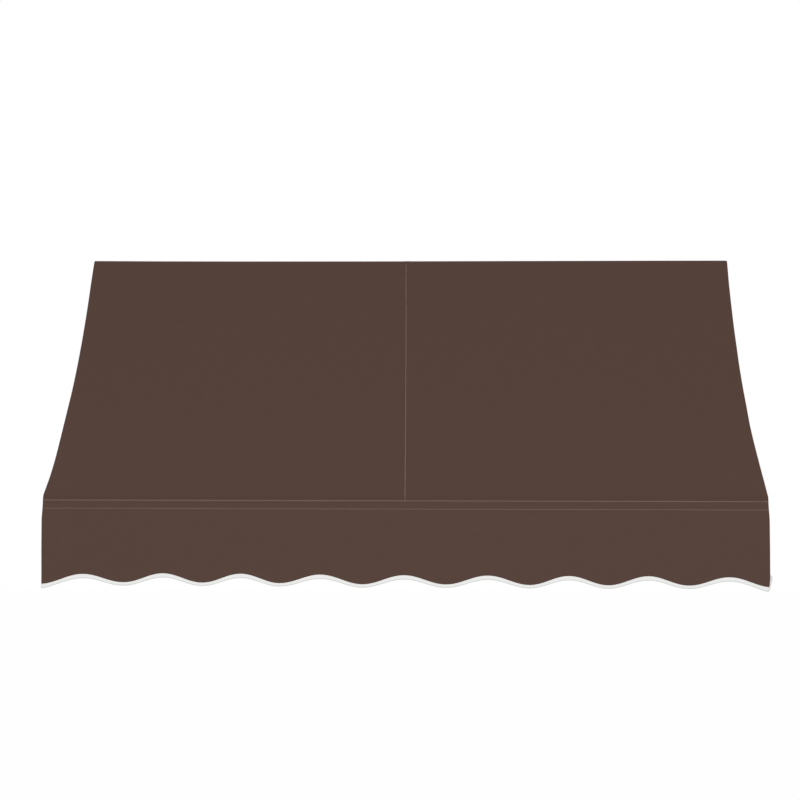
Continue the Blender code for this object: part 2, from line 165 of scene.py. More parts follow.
class Recipe:
    """The node tree of one finish, or of the world."""

    def __init__(self, owner: bpy.types.Material | bpy.types.World,
                 shader: str = "Principled BSDF") -> None:
        """Open the nodes of a new material or world.

        Args:
            owner: The new material or world.
            shader: Name of the shader node that it starts with.
        """
        owner.use_nodes = True
        self.owner = owner
        self.tree = owner.node_tree
        self.shader = self.tree.nodes[shader]

    @classmethod
    def finish(cls, name: str) -> "Recipe":
        """Start a material with its Principled shader."""
        return cls(bpy.data.materials.new(name))

    def node(self, kind: str, settings: dict | None = None, inputs: dict | None = None,
             output: int | str = 0) -> Socket:
        """Add a node.

        Args:
            kind: Blender's node type.
            settings: Attributes, set before the sockets; stops are a ramp's (place, colour) pairs.
            inputs: Values or links by socket name or number.
            output: The output socket that is wanted.

        Returns:
            That output.
        """
        made = self.tree.nodes.new(kind)
        for key, value in (settings or {}).items():
            if key == "stops":
                elements = made.color_ramp.elements
                while len(elements) < len(value):
                    elements.new(1.0)
                for element, (place, colour) in zip(elements, value):
                    element.position = place
                    element.color = colour
            else:
                setattr(made, key, value)
        for key, value in (inputs or {}).items():
            self.feed(made.inputs[key], value)
        return Socket(self, made.outputs[output])

    def feed(self, socket: bpy.types.NodeSocket, value: object) -> None:
        """Link or set one input socket.

        Args:
            socket: The input socket.
            value: A Socket to link, or a plain value.
        """
        if isinstance(value, Socket):
            self.tree.links.new(value.source, socket)
        else:
            socket.default_value = value

    def set(self, **values: object) -> None:
        """Link or set sockets of the Principled shader, with _ for the spaces in their names."""
        for key, value in values.items():
            self.feed(self.shader.inputs[key.replace("_", " ")], value)

    def mix(self, factor: Number, first: Colour, second: Colour) -> Socket:
        """Blend two colours by a factor."""
        return self.node("ShaderNodeMix", {"data_type": "RGBA"},
                         {0: factor, 6: (*first, 1.0), 7: (*second, 1.0)}, 2)

    def coordinates(self) -> Socket:
        """Place in the part's own space, in metres."""
        return self.node("ShaderNodeTexCoord", output="Object")

    def weave(self) -> tuple[Socket, Socket, Socket]:
        """Find the place on the cloth.

        Returns:
            The place in metres as a vector, and its two parts.
        """
        uv = self.node("ShaderNodeUVMap", {"uv_map": WEAVE})
        return uv, self.part(uv, "X"), self.part(uv, "Y")

    def part(self, vector: Socket, axis: str) -> Socket:
        """One part of a vector."""
        return self.node("ShaderNodeSeparateXYZ", None, {0: vector}, axis)

    def stretched(self, vector: Socket, scale: Triple) -> Socket:
        """A vector multiplied part by part."""
        return self.node("ShaderNodeVectorMath", {"operation": "MULTIPLY"}, {0: vector, 1: scale})

    def noise(self, vector: Socket, noise: Noise) -> Socket:
        """Smooth noise from 0 to 1."""
        return self.node("ShaderNodeTexNoise", None, {"Vector": vector, "Scale": noise.scale,
                                                      "Detail": noise.detail, "Roughness": noise.rough})

    def cells(self, vector: Socket, scale: float, output: str = "Distance") -> Socket:
        """Cells about scattered points: the distance to the nearest point, or its colour."""
        return self.node("ShaderNodeTexVoronoi", {"feature": "F1"},
                         {"Vector": vector, "Scale": scale}, output)

    def seen(self) -> Socket:
        """Tell looking rays from the light's own.

        Returns:
            1 where the camera, a reflection or clear glass looks, and 0 for the light itself.
        """
        kinds = ("Is Camera Ray", "Is Glossy Ray", "Is Transmission Ray")
        camera, glossy, clear = (self.node("ShaderNodeLightPath", output=kind) for kind in kinds)
        return (camera + glossy + clear).clamped()

    def bump(self, height: Socket, strength: float, distance: float) -> None:
        """Relief on the shader's normal."""
        self.set(Normal=self.node("ShaderNodeBump", None, {"Height": height, "Strength": strength,
                                                           "Distance": distance}))


def shade(colour: Colour, share: float) -> Colour:
    """A colour made lighter or darker by a share."""
    return tuple(min(c * share, 1.0) for c in colour)


def blend(shares: tuple[float, ...], *patterns: Socket) -> Socket:
    """Add up patterns.

    Args:
        shares: How much of each is taken.
        patterns: The patterns, as many as there are shares.

    Returns:
        Their sum.
    """
    total = patterns[0] * shares[0]
    for share, pattern in zip(shares[1:], patterns[1:]):
        total = total + pattern * share
    return total


@dataclass(frozen=True)
class Finish:
    """What all finishes have: a colour, how far it varies, and a relief.

    The span holds the shares of the colour at the lowest and the highest tone, and rough the
    roughness of the bare surface. Fields that end in _scale are scales of patterns per metre, and
    those that end in _tone, _rough and _height are the patterns' shares in each result. A noise
    on a place that is stretched first has a scale of 1.
    """

    name: str
    colour: Colour
    span: Pair
    rough: float
    strength: float
    depth: float
    metallic: float = 0.0
    gloss: float = 0.5

    def patterns(self, recipe: Recipe) -> tuple[Socket, Socket, Socket]:
        """Lay out what varies over the surface.

        Args:
            recipe: The material's nodes.

        Returns:
            Tone from 0 to 1, what comes on top of the bare roughness, and height.
        """
        raise NotImplementedError

    def make(self) -> bpy.types.Material:
        """Build the material.

        Returns:
            The material.
        """
        recipe = Recipe.finish(self.name)
        tone, rougher, height = self.patterns(recipe)
        dark, light = (shade(self.colour, share) for share in self.span)
        recipe.set(Base_Color=recipe.mix(tone.clamped(), dark, light), Roughness=self.rough + rougher,
                   Metallic=self.metallic, Specular_IOR_Level=self.gloss)
        recipe.bump(height, self.strength, self.depth)
        return recipe.owner


@dataclass(frozen=True)
class Canvas(Finish):
    """Solution-dyed acrylic canvas in a plain weave."""

    name: str = "acrylic_canvas"
    colour: Colour = CANVAS_BROWN
    span: Pair = (0.896, 1.104)
    rough: float = 0.86
    strength: float = 0.35
    depth: float = 0.25 * MM
    gloss: float = 0.08
    thread: float = 0.7 * MM
    patches: Noise = Noise(34.0, 3.0, 0.55)
    slubs: Noise = Noise(1.0)
    slub_scale: Pair = (25.0, 900.0)
    patch_tone: float = 0.45
    slub_tone: float = 0.45
    crossing_tone: float = 0.05
    slub_rough: float = 0.1
    crossing_height: float = 0.35
    slub_height: float = 0.65

    def patterns(self, recipe: Recipe) -> tuple[Socket, Socket, Socket]:
        """Lay out crossing threads, their thick places, and soft patches.

        Args:
            recipe: The material's nodes.

        Returns:
            Tone, added roughness and height.
        """
        uv, across, along = recipe.weave()
        turn = math.pi / self.thread
        crossing = (across * turn).wave() * (along * turn).wave()
        patches = recipe.noise(uv, self.patches)
        slow, fast = self.slub_scale
        weft = recipe.noise(recipe.stretched(uv, (slow, fast, 1.0)), self.slubs)
        warp = recipe.noise(recipe.stretched(uv, (fast, slow, 1.0)), self.slubs)
        slub = (weft + warp) * 0.5
        tone = blend((self.patch_tone, self.slub_tone, self.crossing_tone),
                     patches, slub, crossing + 1.0)
        return (tone, slub * self.slub_rough,
                blend((self.crossing_height, self.slub_height), crossing, slub))


@dataclass(frozen=True)
class Tape(Finish):
    """White acrylic binding tape with fine ribs across it, and painted shade that greys it towards its
    fold.
    """

    name: str = "binding_tape"
    colour: Colour = (0.83, 0.83, 0.82)
    span: Pair = (0.67, 1.03)
    rough: float = 0.72
    strength: float = 0.3
    depth: float = 0.2 * MM
    rib: float = 1.1 * MM
    # Painted shade: the tape greys over this reach above its fold, standing in for the shading of the
    # rounded fold.
    fold_shade_reach: float = 2.6 * MM
    woven: float = 0.22
    fuzz: Noise = Noise(700.0, 3.0)
    patches: Noise = Noise(14.0)
    fuzz_tone: float = 0.6
    rib_tone: float = 0.25
    patch_tone: float = 0.15
    fuzz_rough: float = 0.12
    rib_height: float = 0.5
    fuzz_height: float = 0.5

    def patterns(self, recipe: Recipe) -> tuple[Socket, Socket, Socket]:
        """Lay out the ribs, a fuzz, and the painted shade along the fold.

        Args:
            recipe: The material's nodes.

        Returns:
            Tone, of which the weave takes a small part and the painted shade towards the fold the rest,
            added roughness and height.
        """
        uv, above_fold, along = recipe.weave()
        ribs = along.ribs(self.rib)
        fuzz = recipe.noise(uv, self.fuzz)
        weave = blend((self.fuzz_tone, self.rib_tone, self.patch_tone),
                      fuzz, ribs, recipe.noise(uv, self.patches))
        # Painted shade: the base colour darkens towards the fold, in place of the fold's own shading.
        fold_shade = (1.0 - above_fold * (1.0 / self.fold_shade_reach)).clamped()
        tone = weave * self.woven + (1.0 - fold_shade) * (1.0 - self.woven)
        return tone, fuzz * self.fuzz_rough, blend((self.rib_height, self.fuzz_height), ribs, fuzz)


@dataclass(frozen=True)
class Webbing(Finish):
    """Dark hook and loop strap."""

    name: str = "strap_webbing"
    colour: Colour = (0.030, 0.020, 0.018)
    span: Pair = (0.7, 1.7)
    rough: float = 0.8
    strength: float = 0.5
    depth: float = 0.4 * MM
    rib: float = 1.6 * MM
    loop_scale: float = 900.0
    fade_turn: float = 90.0
    loop_tone: float = 0.7
    rib_tone: float = 0.2
    fade_tone: float = 0.05
    loop_rough: float = 0.15
    loop_height: float = 0.7
    rib_height: float = 0.3

    def patterns(self, recipe: Recipe) -> tuple[Socket, Socket, Socket]:
        """Lay out loops, lengthwise ribs and a slow fade along the strap.

        Args:
            recipe: The material's nodes.

        Returns:
            Tone, added roughness and height.
        """
        uv, across, along = recipe.weave()
        loops, ribs = recipe.cells(uv, self.loop_scale), across.ribs(self.rib)
        tone = blend((self.loop_tone, self.rib_tone, self.fade_tone),
                     loops, ribs, (along * self.fade_turn).wave())
        return tone, loops * self.loop_rough, blend((self.loop_height, self.rib_height), loops, ribs)


@dataclass(frozen=True)
class Thread(Finish):
    """Twisted polyester sewing thread."""

    span: Pair = (0.8, 1.15)
    rough: float = 0.55
    strength: float = 0.4
    depth: float = 0.1 * MM
    twist: float = 0.8 * MM
    slant: float = 0.5
    fibres: Noise = Noise(2400.0, 1.0)
    ply_tone: float = 0.7
    fibre_tone: float = 0.3
    fibre_rough: float = 0.15

    def patterns(self, recipe: Recipe) -> tuple[Socket, Socket, Socket]:
        """Lay out slanting plies with fine fibres.

        Args:
            recipe: The material's nodes.

        Returns:
            Tone, added roughness and height.
        """
        uv, across, along = recipe.weave()
        ply = (along + across * self.slant).ribs(self.twist)
        fibre = recipe.noise(uv, self.fibres)
        return blend((self.ply_tone, self.fibre_tone), ply, fibre), fibre * self.fibre_rough, ply


class Grain(Enum):
    """Which way a tube's drawing lines run, as scales of noise along X, Y and Z."""

    ALONG_X = (1.5, 520.0, 520.0)
    ALONG_Y = (520.0, 1.5, 520.0)
    ALONG_Z = (520.0, 520.0, 1.5)
    CURVED = (520.0, 60.0, 60.0)


@dataclass(frozen=True)
class DrawnTube(Finish):
    """Mill-finish aluminium tube with drawing lines, handling marks and a dull skin."""

    name: str = "mill_aluminium"
    colour: Colour = (0.70, 0.71, 0.72)
    span: Pair = (0.86, 1.08)
    rough: float = 0.22
    strength: float = 0.12
    depth: float = 0.08 * MM
    metallic: float = 1.0
    grain: Grain = Grain.ALONG_X
    lines: Noise = Noise(1.0, 4.0, 0.6)
    skin: Noise = Noise(22.0, 4.0, 0.6)
    marks: Noise = Noise(240.0, 2.0, 0.7)
    line_tone: float = 0.5
    skin_tone: float = 0.35
    mark_tone: float = 0.15
    line_rough: float = 0.12
    skin_rough: float = 0.16
    line_height: float = 0.8
    mark_height: float = 0.2

    @classmethod
    def along(cls, grain: Grain) -> "DrawnTube":
        """The finish of tubes with one grain."""
        return cls("mill_aluminium_" + grain.name.lower(), grain=grain)

    def patterns(self, recipe: Recipe) -> tuple[Socket, Socket, Socket]:
        """Lay out drawing lines, the skin and handling marks.

        Args:
            recipe: The material's nodes.

        Returns:
            Tone, added roughness and height.
        """
        place = recipe.coordinates()
        lines = recipe.noise(recipe.stretched(place, self.grain.value), self.lines)
        skin = recipe.noise(place, self.skin)
        marks = recipe.noise(place, self.marks)
        tone = blend((self.line_tone, self.skin_tone, self.mark_tone), lines, skin, marks)
        return (tone, blend((self.line_rough, self.skin_rough), lines, skin),
                blend((self.line_height, self.mark_height), lines, marks))


@dataclass(frozen=True)
class Casting(Finish):
    """Die-cast aluminium, tumbled, with a fine skin and small pits."""

    name: str = "cast_aluminium"
    colour: Colour = (0.53, 0.54, 0.55)
    span: Pair = (0.82, 1.12)
    rough: float = 0.40
    strength: float = 0.28
    depth: float = 0.15 * MM
    metallic: float = 1.0
    skin: Noise = Noise(900.0, 3.0, 0.6)
    flow: Noise = Noise(55.0, 3.0, 0.55)
    pit_scale: float = 330.0
    pit_edge: float = 0.16
    flow_tone: float = 0.6
    skin_tone: float = 0.4
    flow_rough: float = 0.14
    skin_rough: float = 0.06
    skin_height: float = 0.5
    pit_height: float = 0.3
    flow_height: float = 0.2

    def patterns(self, recipe: Recipe) -> tuple[Socket, Socket, Socket]:
        """Lay out the skin, flow marks and pits.

        Args:
            recipe: The material's nodes.

        Returns:
            Tone, added roughness and height.
        """
        place = recipe.coordinates()
        skin = recipe.noise(place, self.skin)
        flow = recipe.noise(place, self.flow)
        pits = recipe.node("ShaderNodeValToRGB",
                           {"stops": [(0.0, (0, 0, 0, 1)), (self.pit_edge, (1, 1, 1, 1))]},
                           {0: recipe.cells(place, self.pit_scale)})
        return (blend((self.flow_tone, self.skin_tone), flow, skin),
                blend((self.flow_rough, self.skin_rough), flow, skin),
                blend((self.skin_height, self.pit_height, self.flow_height), skin, pits, flow))


@dataclass(frozen=True)
class ZincSteel(Finish):
    """Zinc-plated steel plate with a faint spangle."""

    name: str = "zinc_plated_steel"
    colour: Colour = (0.60, 0.61, 0.61)
    span: Pair = (0.85, 1.12)
    rough: float = 0.30
    strength: float = 0.15
    depth: float = 0.08 * MM
    metallic: float = 1.0
    spangle_scale: float = 160.0
    haze: Noise = Noise(70.0, 3.0)
    grit: Noise = Noise(1300.0)
    spangle_tone: float = 0.5
    haze_tone: float = 0.5
    spangle_rough: float = 0.12
    haze_rough: float = 0.1
    haze_height: float = 0.4
    grit_height: float = 0.6

    def patterns(self, recipe: Recipe) -> tuple[Socket, Socket, Socket]:
        """Lay out the spangle, a haze and fine grit.

        Args:
            recipe: The material's nodes.

        Returns:
            Tone, added roughness and height.
        """
        place = recipe.coordinates()
        spangle = recipe.part(recipe.cells(place, self.spangle_scale, "Color"), "X")
        haze = recipe.noise(place, self.haze)
        grit = recipe.noise(place, self.grit)
        return (blend((self.spangle_tone, self.haze_tone), spangle, haze),
                blend((self.spangle_rough, self.haze_rough), spangle, haze),
                blend((self.haze_height, self.grit_height), haze, grit))


# ---------------------------------------------------------------- meshes

def ease(value: Grid) -> Grid:
    """Smooth step from 0 to 1 as the value goes from 0 to 1."""
    held = np.clip(value, 0.0, 1.0)
    return held * held * (3.0 - 2.0 * held)


def bell(distance: Grid, reach: float) -> Grid:
    """Smooth bump, 1 at distance 0, that fades over the reach."""
    return np.exp(-((distance / reach) ** 2))


class Ripples:
    """Soft fixed irregularity of stretched cloth: a few long waves that cross."""

    def __init__(self, seed: int, shortest: float, longest: float, count: int = 9) -> None:
        """Choose the waves.

        Args:
            seed: Fixes the choice.
            shortest: Shortest wavelength.
            longest: Longest wavelength.
            count: How many waves.
        """
        chance = np.random.default_rng(seed)
        angle = chance.uniform(0.0, math.pi, count)
        turn = 2 * math.pi / chance.uniform(shortest, longest, count)
        self.across = turn * np.cos(angle)
        self.along = turn * np.sin(angle)
        self.phase = chance.uniform(0.0, 2 * math.pi, count)
        self.share = 1.0 / math.sqrt(count)

    def at(self, across: Grid, along: Grid) -> Grid:
        """Height at places on the cloth.

        Args:
            across: First coordinate of the places.
            along: Second coordinate.

        Returns:
            Heights, mostly between -1 and 1.
        """
        total = np.zeros(np.broadcast(across, along).shape)
        for u, v, phase in zip(self.across, self.along, self.phase):
            total += np.sin(across * u + along * v + phase)
        return total * self.share


def unit(vectors: Grid) -> Grid:
    """Vectors of length 1."""
    return vectors / np.maximum(np.linalg.norm(vectors, axis=-1, keepdims=True), 1e-12)


def cloth_shell(middle: Grid, thick: float, uv: Grid, keep: Grid | None = None) -> MeshParts:
    """Give a grid of points the thickness of cloth.

    Args:
        middle: Middle surface, rows by columns by 3.
        thick: Thickness.
        uv: Place on the cloth of each point, in metres.
        keep: Which cells exist, or None for all.

    Returns:
        Vertices, faces and the UV of each vertex.
    """
    rows, columns = middle.shape[:2]
    out = unit(np.cross(np.gradient(middle, axis=1), np.gradient(middle, axis=0)))
    points = np.concatenate([(middle + out * thick / 2).reshape(-1, 3),
                             (middle - out * thick / 2).reshape(-1, 3)])
    shift = rows * columns
    if keep is None:
        keep = np.ones((rows - 1, columns - 1), bool)
    index = np.arange(shift).reshape(rows, columns)
    a, b, c, d = index[:-1, :-1], index[:-1, 1:], index[1:, 1:], index[1:, :-1]
    parts = [np.stack([a, b, c, d], -1)[keep], np.stack([a, d, c, b], -1)[keep] + shift]
    padded = np.pad(keep, 1)
    sides = ((padded[:-2, 1:-1], a, b), (padded[2:, 1:-1], c, d),
             (padded[1:-1, 2:], b, c), (padded[1:-1, :-2], d, a))
    for neighbour, start, end in sides:
        rim = keep & ~neighbour
        parts.append(np.stack([end, start, start + shift, end + shift], -1)[rim])
    faces = np.concatenate(parts)
    used = np.unique(faces)
    renumber = np.zeros(2 * shift, int)
    renumber[used] = np.arange(len(used))
    flat_uv = np.concatenate([uv.reshape(-1, 2)] * 2)
    return points[used], [tuple(face) for face in renumber[faces].tolist()], flat_uv[used]


def loft(rings: Grid, lengths: Grid) -> MeshParts:
    """Join closed rings of points into one solid with capped ends.

    Args:
        rings: Rings by points by 3.
        lengths: Distance along the piece of each ring.

    Returns:
        Vertices, faces and the UV of each vertex.
    """
    count, sides = rings.shape[:2]
    index = np.arange(count * sides).reshape(count, sides)
    ahead = np.roll(index, -1, axis=1)
    faces = np.stack([index[:-1], ahead[:-1], ahead[1:], index[1:]], -1).reshape(-1, 4).tolist()
    faces += [index[0][::-1].tolist(), index[-1].tolist()]
    around = np.linalg.norm(np.diff(rings, axis=1, append=rings[:, :1]), axis=2).cumsum(axis=1)
    uv = np.stack([around, np.repeat(lengths[:, None], sides, 1)], -1).reshape(-1, 2)
    return rings.reshape(-1, 3), [tuple(face) for face in faces], uv


def join(parts: list[MeshParts]) -> MeshParts:
    """Put several meshes into one.

    Args:
        parts: Vertices, faces and UVs of each.

    Returns:
        Vertices, faces and UVs of the whole.
    """
    verts, faces, uvs, shift = [], [], [], 0
    for points, part_faces, uv in parts:
        verts.append(points)
        uvs.append(uv)
        faces += [tuple(k + shift for k in face) for face in part_faces]
        shift += len(points)
    return np.concatenate(verts), faces, np.concatenate(uvs)


def add_piece(name: str, mesh_parts: MeshParts, finish: bpy.types.Material,
              crease: float = 50.0) -> bpy.types.Object:
    """Make one object of the awning.

    Args:
        name: Piece name.
        mesh_parts: Vertices, faces and UVs.
        finish: Its material.
        crease: Edges sharper than this many degrees stay sharp.

    Returns:
        The object, riding on the frame.
    """
    points, faces, uv = mesh_parts
    mesh = bpy.data.meshes.new(name)
    mesh.from_pydata(points.tolist(), [], faces)
    layer = mesh.uv_layers.new(name=WEAVE)
    corner = np.zeros(len(mesh.loops), int)
    mesh.loops.foreach_get("vertex_index", corner)
    layer.data.foreach_set("uv", uv[corner].astype(np.float32).ravel())
    mesh.polygons.foreach_set("use_smooth", [True] * len(mesh.polygons))
    mesh.set_sharp_from_angle(angle=math.radians(crease))
    mesh.materials.append(finish)
    made = bpy.data.objects.new(name, mesh)
    bpy.context.scene.collection.objects.link(made)
    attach(made, "root")
    log.info("%s: %d faces", name, len(faces))
    return made


@dataclass
class StitchRow:
    """Lockstitches along a line on cloth, each a short bent thread that dives in at its ends.

    Each station along a stitch has its place in lengths, and its lift and thickness in radii.
    """

    pitch: float = 5.45 * MM
    length: float = 2.3 * MM
    radius: float = 0.42 * MM
    sides: int = 5
    margin: float = 3.0 * MM
    stations: tuple[Triple, ...] = ((-0.5, -0.8, 0.6), (-0.32, 0.2, 1.0), (0.32, 0.2, 1.0),
                                    (0.5, -0.8, 0.6))

    def sew(self, path: Grid, out: Grid) -> MeshParts:
        """Sew one row, which keeps clear of the ends of its line.

        Args:
            path: Points on the cloth's face along the row.
            out: Outward direction at each point.

        Returns:
            Vertices, faces and UVs of the stitches.
        """
        travelled = np.concatenate([[0.0], np.linalg.norm(np.diff(path, axis=0), axis=1).cumsum()])
        count = max(1, int((travelled[-1] - 2 * self.margin) / self.pitch))
        first = (travelled[-1] - (count - 1) * self.pitch) / 2
        places = first + np.arange(count) * self.pitch

        def along(values: Grid, shift: float = 0.0) -> Grid:
            """The line's values at the stitches, or a little before or after."""
            return np.stack([np.interp(places + shift, travelled, values[:, k]) for k in range(3)], 1)

        centre, normal = along(path), unit(along(out))
        ahead = unit(along(path, self.length / 2) - along(path, -self.length / 2))
        side = np.cross(ahead, normal)
        angles = np.arange(self.sides) * 2 * math.pi / self.sides + math.pi / 2
        verts, uvs = [], []
        for share, lift, thick in self.stations:
            for angle in angles:
                radius = self.radius * thick
                verts.append(centre + ahead * (share * self.length)
                             + normal * (lift * self.radius + radius * math.sin(angle))
                             + side * (radius * math.cos(angle)))
                uvs.append(np.stack([np.full(count, angle * self.radius),
                                     places + share * self.length], 1))
        points = np.stack(verts, 1).reshape(-1, 3)
        uv = np.stack(uvs, 1).reshape(-1, 2)
        size, pattern = len(self.stations) * self.sides, self.pattern()
        faces = [tuple(k + size * n for k in face) for n in range(count) for face in pattern]
        return points, faces, uv

    def pattern(self) -> Faces:
        """Join the points of one stitch.

        Returns:
            Its faces, with both ends capped.
        """
        sides, size = self.sides, len(self.stations) * self.sides
        faces = []
        for ring in range(0, size - sides, sides):
            for k in range(sides):
                a, b = ring + k, ring + (k + 1) % sides
                faces.append((a, b, b + sides, a + sides))
        return faces + [tuple(range(sides))[::-1], tuple(range(size - sides, size))]


# ---------------------------------------------------------------- the cover's side view

@dataclass
class CoverLine:
    """Side view of the cover, from the wall flap over the head bar down to the front hem.

    Its rows lie on the flap, on the part of the head bar that the notches cut, on the rest of the
    head bar, and on the rafter, the front bar and the hem.
    """

    head: Pair
    front: Pair
    turn: float = math.radians(24.8)
    straight: float = 0.080
    flap: float = 0.035
    hem: float = 0.024
    notch_angle: float = math.radians(150.3)
    flap_rows: int = 5
    cut_rows: int = 3
    head_rows: int = 10
    rafter_rows: int = 92
    front_rows: int = 8
    hem_rows: int = 6
    reach: float = field(init=False)
    drop: float = field(init=False)
    start: float = field(init=False)
    end: float = field(init=False)
    radius: float = field(init=False)
    arc: float = field(init=False)
    length: float = field(init=False)
    out: Grid = field(init=False)
    down: Grid = field(init=False)
    angle: Grid = field(init=False)
    rafter: slice = field(init=False)

    def __post_init__(self) -> None:
        """Work out the rafter's curve and the rows of the cover."""
        self.reach, self.drop = self.head[0] - self.front[0], self.head[1] - self.front[1]
        chord, tilt = math.hypot(self.reach, self.drop), math.atan2(self.reach, self.drop)
        self.start, self.end = tilt - self.turn / 2, tilt + self.turn / 2
        self.radius = ((chord - 2 * self.straight * math.cos(self.turn / 2))
                       / (2 * math.sin(self.turn / 2)))
        self.arc = self.radius * self.turn
        self.length = self.arc + 2 * self.straight
        flap = np.linspace(self.flap, 0.0, self.flap_rows + 1)[:-1]
        wrap = np.concatenate([np.linspace(math.pi, self.notch_angle, self.cut_rows + 1)[:-1],
                               np.linspace(self.notch_angle, self.start, self.head_rows + 1)[:-1]])
        out, down, angle = self.axis(np.linspace(0.0, self.length, self.rafter_rows))
        bar = np.linspace(self.end, 0.0, self.front_rows + 1)[1:]
        hem = np.linspace(0.0, self.hem, self.hem_rows + 1)[1:]
        self.out = np.concatenate([0 * flap, 0 * wrap, out, 0 * bar + self.reach, 0 * hem + self.reach])
        self.down = np.concatenate([flap, 0 * wrap, down, 0 * bar + self.drop, hem + self.drop])
        self.angle = np.concatenate([0 * flap + math.pi, wrap, angle, bar, 0 * hem])
        first = len(flap) + len(wrap)
        self.rafter = slice(first, first + len(out))

    @property
    def notch_rows(self) -> int:
        """How many rows the notches for the wall brackets cut away."""
        return self.flap_rows + self.cut_rows

    def axis(self, travel: Grid) -> tuple[Grid, Grid, Grid]:
        """The rafter's axis.

        Args:
            travel: Distances along it from the head bar.

        Returns:
            Distance out, distance down and angle from vertical at each.
        """
        first = np.minimum(travel, self.straight)
        bent = np.clip(travel - self.straight, 0.0, self.arc)
        last = np.maximum(travel - self.straight - self.arc, 0.0)
        angle = self.start + bent / self.radius
        chord = 2 * self.radius * np.sin(bent / self.radius / 2)
        middle = self.start + bent / self.radius / 2
        out = first * math.sin(self.start) + chord * np.sin(middle) + last * np.sin(angle)
        down = first * math.cos(self.start) + chord * np.cos(middle) + last * np.cos(angle)
        return out, down, angle

    def place(self, offset: Grid) -> tuple[Grid, Grid]:
        """Find points of the side view.

        Args:
            offset: Distances out from the tube axes, with the cover's rows as their first dimension.

        Returns:
            Y and Z.
        """
        shape = (-1,) + (1,) * (np.ndim(offset) - 1)
        out, down, angle = (of_rows.reshape(shape) for of_rows in (self.out, self.down, self.angle))
        return (self.head[0] - out - offset * np.cos(angle),
                self.head[1] - down + offset * np.sin(angle))

    def travel(self, offset: float) -> Grid:
        """Distance along the cover of each row, from the flap's edge."""
        y, z = self.place(np.full(len(self.out), offset))
        return np.concatenate([[0.0], np.hypot(np.diff(y), np.diff(z)).cumsum()])

    def share(self, offset: float) -> Grid:
        """How far down the rafter each row is.

        Args:
            offset: Distance out from the tube axes.

        Returns:
            0 at the head to 1 at the front.
        """
        travel = self.travel(offset)
        start, stop = travel[self.rafter.start], travel[self.rafter.stop - 1]
        return np.clip((travel - start) / (stop - start), 0.0, 1.0)

    def outward(self) -> Grid:
        """Outward direction of each row."""
        return np.stack([0 * self.angle, -np.cos(self.angle), np.sin(self.angle)], 1)


@dataclass
class Sizes:
    """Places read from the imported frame."""

    half_width: float
    head: Pair
    front: Pair
    brackets: tuple[float, ...]
    bracket_half: float

    @classmethod
    def read(cls) -> "Sizes":
        """Measure the frame's nodes.

        Returns:
            The sizes.
        """
        def axis(name: str) -> Pair:
            """Y and Z of a cross bar's axis."""
            low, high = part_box(name)
            return (low.y + high.y) / 2, (low.z + high.z) / 2

        plates = [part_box("wall_bracket_" + side) for side in ("left", "centre", "right")]
        return cls(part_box("side_wing_right")[1].x, axis("head_bar"), axis("front_bar"),
                   tuple((low.x + high.x) / 2 for low, high in plates),
                   (plates[0][1].x - plates[0][0].x) / 2)


# ---------------------------------------------------------------- the cover

@dataclass(frozen=True)
class EdgeBow:
    """How far the cover's outer edges stand off their plain line, from the head to the hem, in mm."""

    left: tuple[float, ...] = (-0.9, 0.2, 0.5, 0.8, 1.0, 1.2, 1.5, 2.3, 2.4, 1.4, 0.0, -0.7, 0.5)
    right: tuple[float, ...] = (2.2, 0.8, 0.5, 0.1, 0.1, -0.5, -0.4, -0.1, -0.9, -0.2, 0.6, 0.6, 0.4)

    def at(self, side: Side, share: Grid) -> Grid:
        """Outward distance of one side's edge at shares of the way down."""
        steps = self.right if side is Side.RIGHT else self.left
        return np.interp(share, np.linspace(0.0, 1.0, len(steps)), steps) * MM


